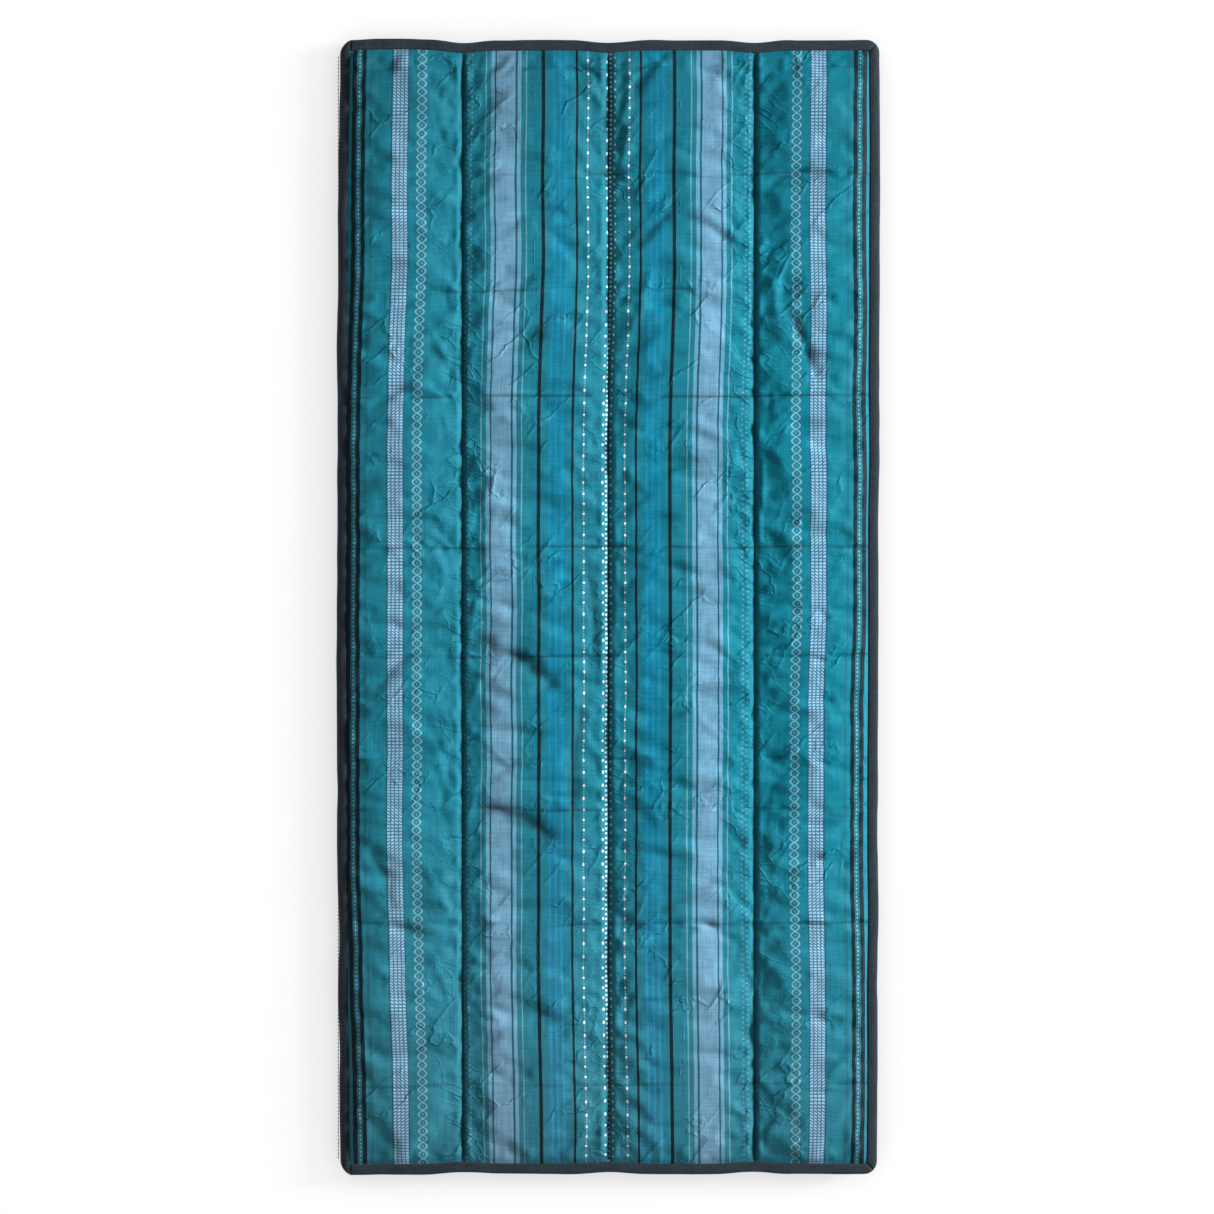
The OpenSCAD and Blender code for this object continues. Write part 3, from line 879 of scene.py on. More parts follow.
def crease_lines_in_cloth(g, u, v, across, along, lean):
    """Crisp crease lines that meet at corners, as in crumpled cloth, and come and go."""
    slant_u = g.add(u, g.mul(v, lean))
    slant_v = g.sub(v, g.mul(u, lean))
    sway = g.grain((u, v), (30.0, 30.0))
    swayed = [g.add(place, g.mul(sway, 0.7)) for place in (g.mul(slant_u, across), g.mul(slant_v, along))]
    cells = g.node("TexVoronoi")
    cells.feature = "DISTANCE_TO_EDGE"
    g.put(cells.inputs["Scale"], 1.0)
    g.put(cells.inputs["Vector"], g.combine(*swayed))
    crest = g.range(cells.outputs["Distance"], 0.0, 0.09, 1.0, 0.0)
    shown = g.range(g.grain((u, v), (11.0, 8.0)), 0.47, 0.64, 0.0, 1.0)
    return g.mul(g.math("POWER", crest, 1.5), shown)


def striped_cloth(name):
    """The shell: plain-woven cotton in teal with stripes, dots, a chain and a dashed band."""
    g = Graph(name)
    u, v = g.cloth_place()
    across = g.mul(u, 1000.0)
    along = g.mul(v, 1000.0)
    distance = g.math("ABSOLUTE", across)
    from_seam = g.attribute("from_seam")

    inner = stripe_bands(g, distance, STRIPES, 0.0)
    outer = stripe_bands(g, distance, OUTER_STRIPES, 230.0)
    base = g.mix(g.math("GREATER_THAN", distance, 235.0), inner, outer)
    base = blue_threads(g, base, distance)
    base = white_dots(g, base, across, along, distance)
    base = thread_chain(g, base, along, distance)
    base = dashed_band(g, base, along, distance)
    base = side_dots(g, base, along, distance)

    # Threads: streaks along the warp, slubs along the weft, and broad changes of shade
    warp = g.grain((u, v), (480.0, 12.0), 3.0, 0.6)
    weft = g.grain((u, v), (20.0, 380.0), 2.0, 0.6)
    worn = g.grain((u, v), (7.0, 5.0), 3.0, 0.55)
    tone = g.add(g.range(warp, 0.25, 0.75, -0.22, 0.22), g.range(weft, 0.25, 0.75, -0.14, 0.14))
    tone = g.add(tone, g.range(worn, 0.3, 0.7, -0.09, 0.09))
    # The cloth's colour, darkened by painted shade in its seams and creases
    value = g.mul(g.add(tone, 1.0), painted_shade_factor(g, u, v, from_seam))
    # The colour is paler towards the foot and richer towards the zip side
    rich = g.add(g.range(v, -0.85, -0.30, 0.93, 1.0), g.range(u, 0.0, 0.3, 0.0, 0.03))
    shade = g.node("HueSaturation", Value=value, Saturation=rich, Color=base)

    weave = 2 * math.pi / (1.1 * MM)
    threads = g.mul(g.math("SINE", g.mul(u, weave)), g.math("SINE", g.mul(v, weave)))
    crumple = g.grain((u, v), (50.0, 80.0), 3.0)
    beside_seam = g.range(g.math("ABSOLUTE", from_seam), 0.0, 0.07, 1.0, 0.0)
    long_creases = crease_lines_in_cloth(g, u, v, 6.0, 17.0, 0.75)
    short_creases = g.mul(crease_lines_in_cloth(g, g.add(u, 3.0), v, 17.0, 44.0, -0.5), beside_seam)
    normal = g.bump(threads, 0.12 * MM, 0.5)
    normal = g.bump(crumple, 1.6 * MM, 0.5, normal)
    normal = g.bump(long_creases, 3.0 * MM, 0.7, normal)
    normal = g.bump(short_creases, 2.2 * MM, 0.8, normal)
    rough = g.range(warp, 0.2, 0.8, 0.55, 0.72)
    return g.surface(shade.outputs[0], rough, normal, sheen=0.0, specular=0.12)


def plain_cloth(name, ground, second, weave_mm, sheen, crumple_depth=0.0015):
    """Plain woven cloth of one dye, with crossing threads, slubs and faint wear."""
    g = Graph(name)
    place = g.object_place()
    x, y, z = g.split(place)
    warp = g.grain((x, y, z), (700.0, 30.0, 300.0))
    weft = g.grain((x, y, z), (30.0, 700.0, 300.0))
    worn = g.noise(place, 22.0, 4.0, 0.6)
    tone = g.add(g.range(warp, 0.3, 0.7, -0.25, 0.25), g.range(weft, 0.3, 0.7, -0.25, 0.25))
    factor = g.add(g.range(worn, 0.3, 0.7, 0.15, 0.6), tone)
    base = g.mix(factor, ground, second)
    size = 2 * math.pi / (weave_mm * MM)
    slope = g.add(g.math("SINE", g.mul(g.add(x, z), size)), g.math("SINE", g.mul(y, size)))
    normal = g.bump(slope, 0.00015, 0.6)
    normal = g.bump(g.noise(place, 60.0, 3.0), crumple_depth, 0.5, normal)
    return g.surface(base, g.range(worn, 0.3, 0.7, 0.75, 0.9), normal, sheen=sheen, specular=0.2)


def batting(name):
    """Polyester batting: off-white fibres laid mostly along the bag, with soft clumps."""
    g = Graph(name)
    place = g.object_place()
    fibre = g.grain(g.split(place), (900.0, 90.0, 900.0), 4.0, 0.7)
    clump = g.noise(place, 45.0, 3.0, 0.6)
    base = g.mix(fibre, colour(225, 222, 214), colour(250, 249, 245))
    base = g.mix(g.range(clump, 0.4, 0.7, 0.0, 0.35), base, colour(212, 208, 200))
    normal = g.bump(g.add(fibre, clump), 0.0015, 0.8)
    return g.surface(base, 0.95, normal, sheen=0.3, specular=0.1)


def thread(name, shade, dark):
    """Twisted sewing thread."""
    g = Graph(name)
    place = g.object_place()
    twist = g.node("TexWave", Vector=place, Scale=900.0, Distortion=1.5)
    twist.bands_direction = "DIAGONAL"
    fuzz = g.noise(place, 1500.0, 2.0)
    base = g.mix(twist.outputs[1], dark, shade)
    base = g.mix(g.range(fuzz, 0.4, 0.8, 0.0, 0.25), base, shade)
    normal = g.bump(twist.outputs[1], 0.0001, 0.7)
    return g.surface(base, 0.7, normal, sheen=0.2, specular=0.25)


def zip_plastic(name, shade, light):
    """Nylon monofilament of the coils and the stops."""
    g = Graph(name)
    place = g.object_place()
    streak = g.noise(place, 700.0, 3.0)
    base = g.mix(g.range(streak, 0.3, 0.7, 0.0, 0.5), shade, light)
    normal = g.bump(streak, 0.00005, 0.4)
    return g.surface(base, g.range(streak, 0.3, 0.7, 0.28, 0.42), normal, specular=0.5)


def zip_metal(name, shade, worn_shade):
    """Cast and coated zinc, with the coating thinned on ridges and in scuffs."""
    g = Graph(name)
    place = g.object_place()
    grain = g.noise(place, 900.0, 3.0)
    scuff = g.noise(place, 160.0, 5.0, 0.7)
    edge = g.node("NewGeometry").outputs["Pointiness"]
    worn = g.math("MAXIMUM", g.range(scuff, 0.58, 0.72, 0.0, 0.7), g.range(edge, 0.53, 0.60, 0.0, 0.8))
    base = g.mix(worn, shade, worn_shade)
    rough = g.range(g.add(grain, worn), 0.3, 1.3, 0.42, 0.26)
    normal = g.bump(g.add(grain, g.mul(scuff, 0.5)), 0.00008, 0.5)
    return g.surface(base, rough, normal, metallic=0.9, specular=0.5)


SHELL_CLOTH = striped_cloth("shell_cloth")
LINING_CLOTH = plain_cloth("lining_cloth", LINING_GREY, dye(84, 92, 100), 0.9, 0.15)
BINDING_CLOTH = plain_cloth("binding_cloth", dye(30, 40, 50), dye(54, 66, 78), 1.4, 0.05)
BATTING = batting("batting")
# The seam thread's near black is partly its own colour and partly painted shade of the seam groove
SEAM_THREAD = thread("seam_thread", dye(14, 44, 52), dye(6, 20, 26))
EDGE_THREAD = thread("edge_thread", dye(56, 60, 66), dye(22, 24, 28))
TAPE_CLOTH = plain_cloth("zip_tape_cloth", dye(22, 24, 28), dye(48, 52, 58), 0.7, 0.1, 0.0004)
COIL_PLASTIC = zip_plastic("coil_plastic", colour(14, 15, 17), colour(34, 36, 40))
STOP_PLASTIC = zip_plastic("stop_plastic", colour(20, 21, 24), colour(48, 50, 54))
SLIDER_METAL = zip_metal("slider_metal", colour(42, 43, 46), colour(168, 166, 160))
PULL_METAL = zip_metal("pull_metal", colour(58, 59, 62), colour(178, 176, 170))


# ---- Shells, linings and batting ----

FINE_X = trim_to_thirds(graded_lines(2.2 * MM, 5.6 * MM, 50 * MM))
FINE_Y = trim_to_thirds(crease_lines(2.3 * MM, 5.5 * MM, 12 * MM))
CLOTH_THICK = 0.5 * MM
BATT_COLUMNS = 30
BATT_ROWS = 150


def thinned(lines, every):
    """Every few of the grid lines, and always the last, in a count that closed_skin can use."""
    kept = list(lines[::every])
    if kept[-1] != lines[-1]:
        kept.append(lines[-1])
    return trim_to_thirds(np.array(kept))


def mark_painted_shade(piece, shade_in_creases):
    """Keeps where the cloth's painted shade goes: each point's place right of the nearest seam, and how
    dark its creases are painted."""
    points = np.empty(len(piece.data.vertices) * 3)
    piece.data.vertices.foreach_get("co", points)
    depth = np.zeros(len(piece.data.vertices))
    depth[:shade_in_creases.size] = shade_in_creases.ravel()
    for name, values in (("from_seam", nearest_seam(points[::3], SEAMS)), ("crease_shade_painted", depth)):
        layer = piece.data.attributes.new(name, "FLOAT", "POINT")
        layer.data.foreach_set("value", values.astype(np.float32))


def make_skin(name, skin, grid_x, grid_y, body, slot, material, simulated=None):
    """One panel's shell or lining, as a sheet of cloth."""
    points, flat, shade_in_creases = skin_surface(skin, grid_x, grid_y, simulated)
    piece = closed_skin(name + "_cloth", points, flat, skin.outward, CLOTH_THICK)
    mark_painted_shade(piece, shade_in_creases)
    finish_piece(piece, body, slot, material, [name])
    panel = name.split("_")[0]
    return points


def sample_heights(points, from_x, from_y, at_x, at_y, outward):
    """A skin's height at other grid lines, on the safe side of its wrinkles."""
    height = lowest_nearby(points[..., 2] * outward, 4)
    rows = np.abs(from_y[None] - at_y[:, None]).argmin(axis=1)
    columns = np.abs(from_x[None] - at_x[:, None]).argmin(axis=1)
    return height[np.ix_(rows, columns)] * outward


def make_batt(panel, number, upper, upper_lines, lower, lower_lines):
    """The batting of one channel, which fills the room between shell and lining."""
    node = f"{panel}_fill_{number}"
    start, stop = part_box(node)
    xs = np.linspace(start.x, stop.x, BATT_COLUMNS)
    ys = np.linspace(start.y, stop.y, BATT_ROWS)
    x, y = np.meshgrid(xs, ys)
    top = sample_heights(upper, *upper_lines, xs, ys, 1) - 1.3 * MM
    base = sample_heights(lower, *lower_lines, xs, ys, -1) + 1.0 * MM
    middle = (top + base) / 2
    half = np.maximum((top - base) / 2, 0.3 * MM)
    shift_x, shift_y = outline_shift(x, y)
    place = [x + shift_x, y + shift_y]
    lift = np.stack(place + [middle + half], axis=-1).reshape(-1, 3)
    drop = np.stack(place + [middle - half], axis=-1).reshape(-1, 3)
    rows, columns = x.shape
    base_count = rows * columns
    faces = grid_faces(rows, columns) + grid_faces(rows, columns, first=base_count, flip=True)
    index = np.arange(base_count).reshape(rows, columns)
    border = list(index[0]) + list(index[1:, -1]) + list(index[-1, -2::-1]) + list(index[-2:0:-1, 0])
    for a, b in zip(border, border[1:] + border[:1]):
        faces.append((b, a, a + base_count, b + base_count))
    piece = add_mesh(node + "_batt", np.concatenate([lift, drop]), faces)
    finish_piece(piece, panel + "_panel", "insulation", BATTING, [node])


def make_panels():
    """Both quilted panels: shell, lining and four batts each."""
    slack = simulate_slack("slack", 11)
    fine = (FINE_X, FINE_Y)
    coarse = (thinned(FINE_X, 2), thinned(FINE_Y, 2))
    top = make_skin("top_shell", TOP_SHELL, *fine, "top_panel", "shell_fabric", SHELL_CLOTH, slack)
    top_in = make_skin("top_lining", TOP_LINING, *coarse, "top_panel", "lining_fabric", LINING_CLOTH)
    low_in = make_skin("bottom_lining", BOTTOM_LINING, *coarse, "bottom_panel", "lining_fabric",
                       LINING_CLOTH, slack)
    base = make_skin("bottom_shell", BOTTOM_SHELL, *coarse, "bottom_panel", "shell_fabric", SHELL_CLOTH)
    for number in (1, 2, 3, 4):
        make_batt("top", number, top, fine, top_in, coarse)
        make_batt("bottom", number, low_in, coarse, base, coarse)


# ---- Threads ----

STITCH_SIDES = 5
STITCH_PITCH = 4.2 * MM


def stitches(name, places, directions, ups, length, radius):
    """Short round-ended stitches, one at each place."""
    count = len(places)
    across = np.cross(directions, ups)
    rings = ((-0.5, 0.25), (-0.42, 0.85), (0.0, 1.0), (0.42, 0.85), (0.5, 0.25))
    points = []
    for along, wide in rings:
        for m in range(STITCH_SIDES):
            turn = 2 * math.pi * m / STITCH_SIDES
            dip = -0.5 * radius * (abs(along) * 2) ** 2
            points.append(places + directions * along * length
                          + across * (radius * wide * math.cos(turn))
                          + ups * (radius * wide * math.sin(turn) + dip))
    points = np.stack(points, axis=1).reshape(-1, 3)
    one = []
    for k in range(len(rings) - 1):
        for m in range(STITCH_SIDES):
            n = (m + 1) % STITCH_SIDES
            a, b = k * STITCH_SIDES, (k + 1) * STITCH_SIDES
            one.append((a + m, b + m, b + n, a + n))
    last = (len(rings) - 1) * STITCH_SIDES
    caps = [tuple(range(STITCH_SIDES)), tuple(last + m for m in range(STITCH_SIDES))[::-1]]
    size = len(rings) * STITCH_SIDES
    faces = []
    for k in range(count):
        for face in one + caps:
            faces.append(tuple(corner + k * size for corner in face))
    return add_mesh(name, points, faces)


def run_of_stitches(start, end, pitch):
    """Evenly spaced places along a straight line, with its direction at each."""
    start, end = np.array(start, float), np.array(end, float)
    run = np.linalg.norm(end - start)
    count = int(run / pitch)
    t = (np.arange(count) + 0.5) / count
    places = start + (end - start) * t[:, None]
    return places, np.repeat([(end - start) / run], count, axis=0)


def sew(node, lines, up, length, radius, material):
    """Stitches along straight lines on one panel, moved with the bag's outline."""
    runs = [run_of_stitches(start, end, STITCH_PITCH) for start, end in lines]
    places = follow_outline(np.concatenate([places for places, _ in runs]))
    directions = np.concatenate([ways for _, ways in runs])
    ups = np.zeros_like(places)
    ups[:, 2] = up
    piece = stitches(node + "_threads", places, directions, ups, length, radius)
    finish_piece(piece, node.split("_")[0] + "_panel", "thread", material, [node])


def make_channel_stitching(panel, height, up):
    """The stitches of one panel's three lengthwise seams."""
    node = f"{panel}_channel_stitching"
    reach = high(node).y
    lines = [((seam, -reach, height), (seam, reach, height)) for seam in SEAMS]
    sew(node, lines, up, 3.6 * MM, 0.6 * MM, SEAM_THREAD)


# ---- Bindings ----

# The folded tape's cut: distance out from its inner edge as a share, height in mm; it is open inside
TAPE_CUT = [
    (0.00, 2.7), (0.06, 3.35), (0.20, 3.85), (0.45, 4.0), (0.70, 3.7), (0.86, 2.9), (0.96, 1.6),
    (1.00, 0.0), (0.96, -1.6), (0.86, -2.9), (0.70, -3.7), (0.45, -4.0), (0.20, -3.85), (0.06, -3.35),
    (0.00, -2.7), (0.03, -2.1), (0.40, -2.5), (0.68, -2.3), (0.74, 0.0), (0.68, 2.3), (0.40, 2.5),
    (0.03, 2.1),
]


def tape_rise(along, seed):
    """How far the binding's face rises and falls along its length."""
    short = 0.35 * MM * ripple(along, 0.016, seed)
    long = 0.45 * MM * ripple(along, 0.06, seed + 1)
    return short + long


def edge_rings(along, inner, outer, middle_z, seed):
    """Rings of the folded tape between its inner and outer edge lines."""
    rings = []
    rise = tape_rise(along, seed)
    wide = 0.6 * MM * ripple(along, 0.035, seed + 2)
    slant = 0.5 * MM * waves(along, 0 * along + 5, 0.011, 1, seed + 3)
    for k in range(len(along)):
        out = outer[k] - inner[k]
        reach = np.linalg.norm(out)
        out = out / max(reach, 1e-9)
        ring = []
        for share, height in TAPE_CUT:
            place = inner[k] + out * (reach * share + (wide[k] if share > 0.9 else 0.0))
            lift = height * MM
            if height > 2.6 or height < -2.6:
                bulge = math.sin(math.pi * min(share / 0.9, 1.0))
                lift += math.copysign(1, height) * (rise[k] * bulge + slant[k] * bulge * (share - 0.4))
            ring.append((place[0], place[1], middle_z + lift))
        rings.append(ring)
    return follow_outline(np.array(rings))


def corner_out(distance, limit):
    """How far out the outline is, at a distance along an edge that ends in a rounded corner."""
    over = np.clip(distance - (limit - CORNER_R), 0, CORNER_R)
    return np.sqrt(CORNER_R ** 2 - over ** 2) - CORNER_R


def make_binding(panel, edge, middle_z, seed):
    """One edge's folded tape, mitred where it meets the next one."""
    node = f"{panel}_{edge}_binding"
    diagonal = CORNER_R * (1 - math.sqrt(0.5))
    if edge == "side":
        far = HALF_L - diagonal
        spread = np.linspace(-1, 1, 330)
        along = spread * QUILT_Y
        outer_along = spread * far
        outer_x = HALF_W + corner_out(np.abs(outer_along), HALF_L)
        inner = np.stack([np.full_like(spread, QUILT_X), along], axis=-1)
        outer = np.stack([outer_x, outer_along], axis=-1)
    else:
        sign = 1 if edge == "head" else -1
        begin = low(node).x
        far = HALF_W - diagonal
        spread = np.linspace(0, 1, 160)
        along = begin + spread * (QUILT_X - begin)
        outer_along = begin + spread * (far - begin)
        outer_y = HALF_L + corner_out(outer_along, HALF_W)
        inner = np.stack([along, np.full_like(spread, sign * QUILT_Y)], axis=-1)
        outer = np.stack([outer_along, sign * outer_y], axis=-1)
    piece = loft(node + "_tape", edge_rings(along, inner, outer, middle_z, seed))
    finish_piece(piece, panel + "_panel", "binding_fabric", BINDING_CLOTH, [node])


def fold_cut():
    """The fold band's cut from the top panel's face round the fold to the underside, then back inside."""
    top = high("top_fold_band").z
    bottom = low("bottom_fold_band").z
    middle = (top + bottom) / 2
    half = (top - bottom) / 2
    outer, inner = [], []
    for k in range(25):
        turn = math.pi * (k / 24 - 0.5)
        round_x = math.cos(turn)
        round_z = -math.sin(turn)
        share = abs(round_x) ** 0.62
        rise = math.copysign(abs(round_z) ** 0.72, round_z)
        outer.append((share, middle + half * rise))
        inner.append((share * 0.86, middle + (half - 1.4 * MM) * rise))
    return outer + inner[::-1]


BAND_RINGS = 400
NOTCH_DEPTH = 16 * MM
NOTCH_HALF_HEIGHT = 14 * MM


def make_fold_band():
    """The binding that wraps the fold: one strip of tape."""
    cut = fold_cut()
    inner_x = high("top_fold_band").x
    middle = (high("top_fold_band").z + low("bottom_fold_band").z) / 2
    deep = BINDING_W - 0.8 * MM
    end = HALF_L - 0.4 * MM
    t = np.linspace(-1, 1, BAND_RINGS)
    ys = end * np.sign(t) * (1 - (1 - np.abs(t)) ** 1.15)
    rings = []
    rise = tape_rise(ys, 81)
    tuck = 0.8 * MM * ripple(ys, 0.045, 83)
    for k, y in enumerate(ys):
        ring = []
        for share, z in cut:
            # The band stops short of the rounded corner where it bends, and reaches it above and below
            notch = 1 - smooth(abs(z - FOLD_Z) / NOTCH_HALF_HEIGHT)
            place_y = y * (1 - notch * NOTCH_DEPTH / end)
            rounded = (BINDING_W + corner_out(np.array(abs(place_y)), HALF_L)) / BINDING_W
            rounded = max(float(rounded), 0.02)
            lively = math.sin(math.pi * min(1, share)) * 1.2
            x = inner_x - share * rounded * (deep + tuck[k])
            lift = math.copysign(1, z - middle) * rise[k] * lively
            squeeze = middle + (z - middle) * (0.93 + 0.07 * rounded ** 0.5)
            ring.append((x, place_y, squeeze + lift))
        rings.append(ring)
    piece = loft("fold_band", follow_outline(np.array(rings)))
    finish_piece(piece, None, "binding_fabric", BINDING_CLOTH, ["bottom_fold_band", "top_fold_band"])
    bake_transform(piece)


def make_binding_stitching(panel, height, up):
    """The line of thread that holds the binding, near its inner edge on all four sides."""
    node = f"{panel}_binding_stitching"
    right, left, end = high(node).x - 0.6 * MM, low(node).x + 0.6 * MM, high(node).y - 0.6 * MM
    corners = [(left, -end, height), (right, -end, height), (right, end, height), (left, end, height)]
    sew(node, zip(corners, corners[1:] + corners[:1]), up, 3.2 * MM, 0.4 * MM, EDGE_THREAD)


def make_fold_stitching():
    """The line of thread along the fold, on the hinge line."""
    node = "fold_stitching"
    line, way = run_of_stitches((FOLD_X, low(node).y, FOLD_Z), (FOLD_X, high(node).y, FOLD_Z), 6 * MM)
    ups = np.zeros_like(line)
    ups[:, 0] = -1
    piece = stitches(node + "_threads", line, way, ups, 4.6 * MM, 0.8 * MM)
    finish_piece(piece, "bottom_panel", "thread", EDGE_THREAD, [node])


# ---- Zip ----

ZIP_X = (low("lower_head_stop").x + high("lower_head_stop").x) / 2
ZIP_Y = (low("lower_foot_stop").y + high("lower_foot_stop").y) / 2
BEND_R = 20 * MM


def zip_line(node, step):
    """The route in plan of a tape or coil, from the head round the foot corner, with its outward way."""
    bend_x, bend_y = ZIP_X - BEND_R, ZIP_Y + BEND_R
    straight = high(node).y - bend_y
    bend = BEND_R * math.pi / 2
    total = straight + bend + (bend_x - low(node).x)
    s = np.arange(0, total, step)
    turn = np.clip((s - straight) / BEND_R, 0, math.pi / 2)
    out = np.stack([np.cos(turn), -np.sin(turn)], axis=-1)
    centre = np.array([bend_x, bend_y])
    place = centre + BEND_R * out
    place[:, 1] += np.maximum(straight - s, 0)
    place[:, 0] -= np.maximum(s - straight - bend, 0)
    return s, place, out


TAPE_PROFILE = [
    (-0.42, 0.0), (-0.45, 0.2), (-0.32, 0.7), (-0.45, 0.9), (-0.40, 1.0),
    (0.40, 1.0), (0.45, 0.9), (0.32, 0.7), (0.45, 0.2), (0.42, 0.0),
]


def make_zip_tape(row):
    """A woven tape that stands on edge, with a thicker beaded rim beside the coil."""
    node = f"{row}_zip_tape"
    bottom, top = low(node).z, high(node).z
    s, place, out = zip_line(node, 5 * MM)
    sway = 0.25 * MM * ripple(s, 0.05, 91 if row == "upper" else 92)
    rings = []
    for k in range(len(s)):
        ring = []
        for thick, share in TAPE_PROFILE:
            x, y = place[k] + out[k] * (thick * MM + sway[k])
            ring.append((x, y, bottom + share * (top - bottom)))
        rings.append(ring)
    piece = loft(node + "_weave", rings)
    body = "top_panel" if row == "upper" else "bottom_panel"
    finish_piece(piece, body, "zip_tape", TAPE_CLOTH, [node])


def tube_parts(line, radius, sides):
    """Points and faces of a thin tube along many points."""
    tangent = np.gradient(line, axis=0)
    tangent /= np.linalg.norm(tangent, axis=1)[:, None]
    guide = np.zeros_like(line)
    guide[:, 2] = 1.0
    guide[np.abs(tangent[:, 2]) > 0.8] = (1.0, 0.0, 0.0)
    side = np.cross(tangent, guide)
    side /= np.linalg.norm(side, axis=1)[:, None]
    for k in range(1, len(side)):
        rough = side[k - 1] - tangent[k] * np.dot(side[k - 1], tangent[k])
        side[k] = rough / np.linalg.norm(rough)
    up = np.cross(tangent, side)
    turns = 2 * math.pi * np.arange(sides) / sides
    round_off = side[:, None] * np.cos(turns)[:, None] + up[:, None] * np.sin(turns)[:, None]
    points = line[:, None] + radius * round_off
    return points.reshape(-1, 3), ring_faces(len(line), sides)


COIL_PITCH = 2.8 * MM
COIL_POINTS = 9


def make_zip_coil(row):
    """A coil of nylon round its filler cord."""
    node = f"{row}_zip_coil"
    bottom, top = low(node).z, high(node).z
    middle = (bottom + top) / 2
    wire = 0.42 * MM
    s, place, out = zip_line(node, COIL_PITCH / COIL_POINTS)
    turn = 2 * math.pi * s / COIL_PITCH
    wide = 2.1 * MM - wire
    tall = (top - bottom) / 2 - wire
    line = np.empty((len(s), 3))
    line[:, :2] = place + out * (wide * np.cos(turn))[:, None]
    line[:, 2] = middle + tall * np.sin(turn)
    points, faces = tube_parts(line, wire, 4)
    core_s, core_place, _ = zip_line(node, 6 * MM)
    core = np.column_stack([core_place, np.full(len(core_s), middle)])
    core_points, core_faces = tube_parts(core, 0.75 * MM, 6)
    faces += [tuple(corner + len(points) for corner in face) for face in core_faces]
    piece = add_mesh(node + "_loops", np.concatenate([points, core_points]), faces)
    body = "top_panel" if row == "upper" else "bottom_panel"
    finish_piece(piece, body, "zip_coil", COIL_PLASTIC, [node])


# ---- Draft tube ----

def tube_section(scale_out, centre_x, centre_z, half_x, half_z, lively):
    """A soft oval, a little flat where it lies against the lining."""
    ring = []
    for m in range(24):
        turn = 2 * math.pi * m / 24
        x = centre_x + half_x * math.cos(turn) * scale_out
        z = centre_z + half_z * math.copysign(abs(math.sin(turn)) ** 0.8, math.sin(turn)) * scale_out
        ring.append((x, z + lively * math.cos(turn)))
    return ring


def make_draft_tube():
    """The padded roll behind the side zip: a sewn cover with its filling inside."""
    cover_low, cover_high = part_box("draft_tube_cover")
    fill_low, fill_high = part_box("draft_tube_fill")
    centre_z = (fill_low.z + fill_high.z) / 2
    centre_x = (fill_low.x + fill_high.x) / 2
    for kind, box, half_x, half_z, material, slot in (
        ("cover", (cover_low, cover_high), 14.6 * MM, 6.0 * MM, LINING_CLOTH, "lining_fabric"),
        ("fill", (fill_low, fill_high), 12.8 * MM, 4.6 * MM, BATTING, "insulation"),
    ):
        ys = np.linspace(box[0].y + 1 * MM, box[1].y - 1 * MM, 320)
        rings = []
        for y in ys:
            from_end = min(y - box[0].y, box[1].y - y)
            scale = math.sqrt(smooth(from_end / 0.020) * 0.98 + 0.02)
            here = np.array(y)
            pucker = 0.5 * MM * float(ripple(here, 0.018, 95))
            swell = 1 + 0.04 * float(ripple(here, 0.07, 96))
            section = tube_section(scale * swell, centre_x, centre_z, half_x, half_z, pucker)
            rings.append([(x, y, z) for x, z in section])
        piece = loft(f"draft_tube_{kind}_roll", rings)
        finish_piece(piece, "top_panel", slot, material, [f"draft_tube_{kind}"])


# ---- CAD pieces that keep their shape ----

def repaint(node, material):
    """A CAD piece keeps its mesh and takes a finer material."""
    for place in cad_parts[node].material_slots:
        place.material = material


def make_hardware():
    """The end stops, slider bodies and pull tabs."""
    for row in ("lower", "upper"):
        for end in ("head", "foot"):
            repaint(f"{row}_{end}_stop", STOP_PLASTIC)
    for side in ("side", "foot"):
        repaint(f"{side}_slider_body", SLIDER_METAL)
        for face in ("outer", "inner"):
            repaint(f"{side}_{face}_pull", PULL_METAL)


# ---- Floor, light and camera ----

# The floor is dark and glows; its glow is dimmed near the bag as a painted shadow halo
FLOOR_GREY = 0.10
FLOOR_GLOW = 0.88
PAINTED_HALO_REACH = 110 * MM
PAINTED_HALO_SHADE = 0.55
FLOOR_HALF = 9.0
FLOOR_DROP = 0.3 * MM
SKY_STRENGTH = 0.45
KEY_PLACE = (6.6, 1.5, 2.9)
KEY_SIZE = (1.5, 2.6)
KEY_WATTS = 1400
LENS_MM = 88.2
CAMERA_PLACE = (-0.0027, 0.0008, 5.045)


def grey(value):
    return (value, value, value, 1.0)


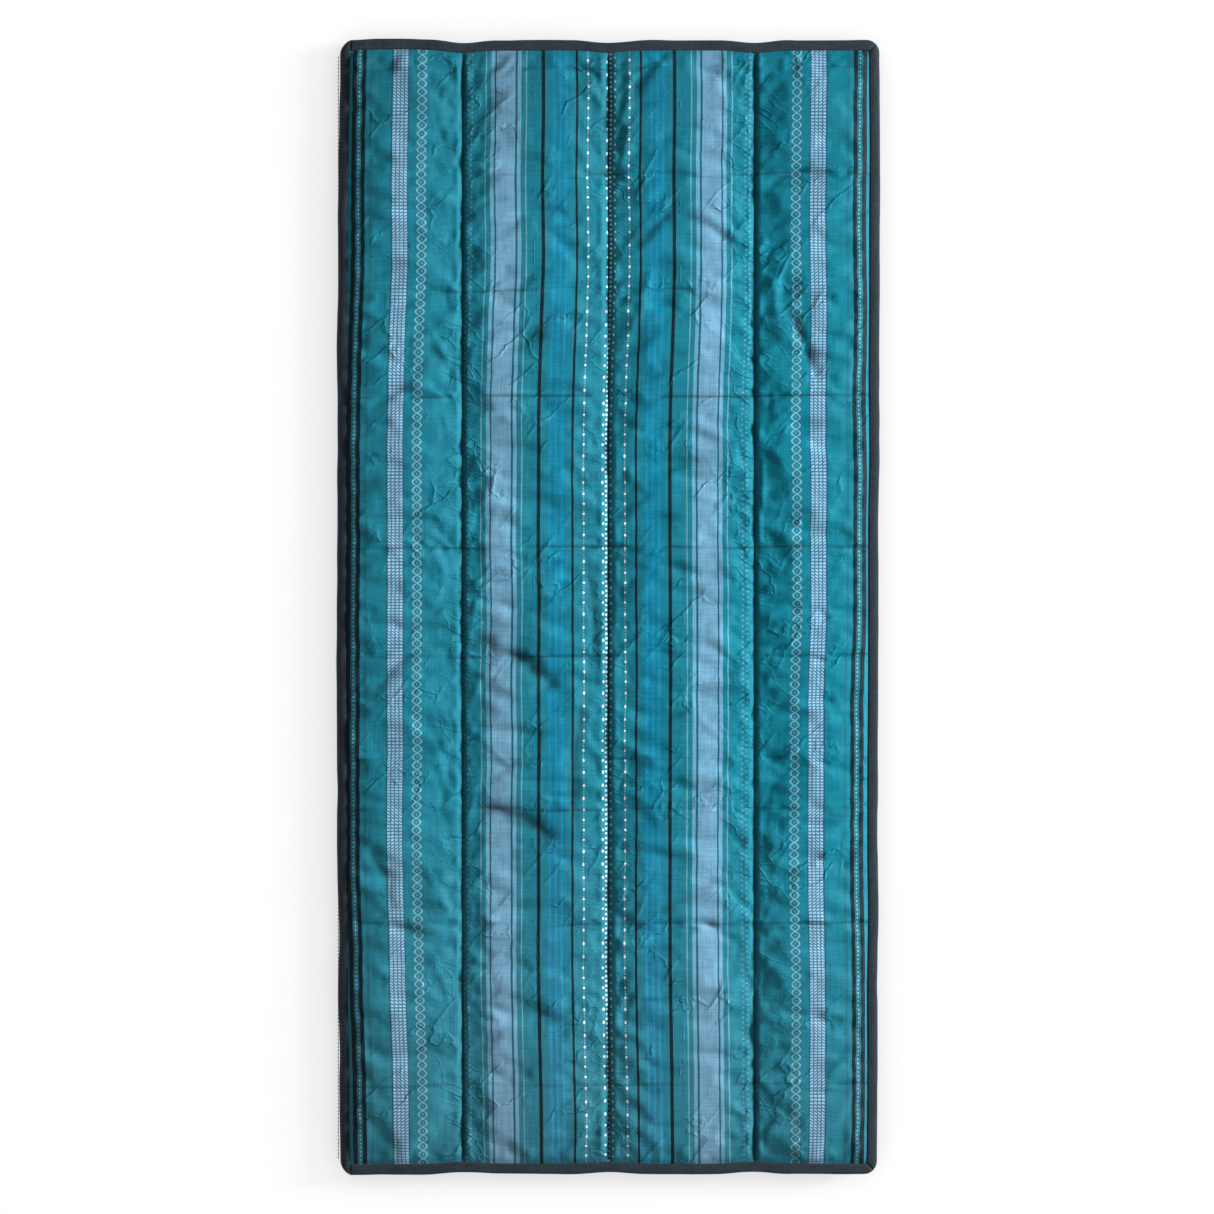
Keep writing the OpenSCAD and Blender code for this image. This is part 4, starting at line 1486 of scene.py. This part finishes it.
def make_floor():
    """A pale floor just under the bag, which glows, with a painted shadow: its glow is darker where
    something stands close to it.
    """
    g = Graph("pale_floor")
    place = g.object_place()
    base = g.mix(g.noise(place, 3.0, 2.0), grey(FLOOR_GREY), grey(FLOOR_GREY + 0.01))
    g.surface(base, 0.9, specular=0.05)
    # Painted shadow: the glow dims where something stands close
    near = g.node("AmbientOcclusion", Distance=PAINTED_HALO_REACH)
    shade = g.mix(near.outputs["AO"], grey(PAINTED_HALO_SHADE), grey(1.0))
    g.put(g.shader.inputs["Emission Color"], shade)
    g.put(g.shader.inputs["Emission Strength"], FLOOR_GLOW)
    signs = ((-1, -1), (1, -1), (1, 1), (-1, 1))
    corners = [(FLOOR_HALF * i, FLOOR_HALF * j, -FLOOR_DROP) for i, j in signs]
    floor = add_mesh("floor", corners, [(0, 1, 2, 3)])
    floor.data.materials.append(g.material)


def make_lights():
    """A wide soft key light from the zip side, a little towards the head, and an even pale sky."""
    world = bpy.data.worlds.new("studio")
    world.use_nodes = True
    sky = world.node_tree.nodes["Background"]
    sky.inputs["Color"].default_value = grey(1.0)
    sky.inputs["Strength"].default_value = SKY_STRENGTH
    bpy.context.scene.world = world
    lamp = bpy.data.lights.new("key", "AREA")
    lamp.shape = "RECTANGLE"
    lamp.size, lamp.size_y = KEY_SIZE
    lamp.energy = KEY_WATTS
    key = bpy.data.objects.new("key", lamp)
    key.location = KEY_PLACE
    key.rotation_euler = (-key.location).to_track_quat("-Z", "Y").to_euler()
    bpy.context.collection.objects.link(key)


def make_camera():
    """Straight down, with the bag filling most of the frame."""
    data = bpy.data.cameras.new("camera")
    data.lens = LENS_MM
    data.sensor_width = 36.0
    data.clip_end = 30.0
    camera = bpy.data.objects.new("camera", data)
    camera.location = CAMERA_PLACE
    bpy.context.collection.objects.link(camera)
    bpy.context.scene.camera = camera
    bpy.context.scene.view_settings.view_transform = "Standard"


# ---- The whole bag ----

make_camera()
make_lights()
make_floor()
make_panels()
make_channel_stitching("top", TOP_SEAM_Z + 1.2 * MM, 1)
make_channel_stitching("bottom", BOTTOM_SEAM_Z - 1.0 * MM, -1)
for panel_name, first_seed in (("top", 110), ("bottom", 140)):
    rim_low, rim_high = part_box(f"{panel_name}_side_binding")
    rim_middle = (rim_low.z + rim_high.z) / 2
    for turn_seed, edge_name in enumerate(("side", "head", "foot")):
        make_binding(panel_name, edge_name, rim_middle, first_seed + 5 * turn_seed)
make_fold_band()
make_fold_stitching()
make_binding_stitching("top", high("top_side_binding").z + 0.1 * MM, 1)
make_binding_stitching("bottom", low("bottom_side_binding").z - 0.1 * MM, -1)
for make_zip_part in (make_zip_tape, make_zip_coil):
    make_zip_part("lower")
    make_zip_part("upper")
make_draft_tube()
make_hardware()
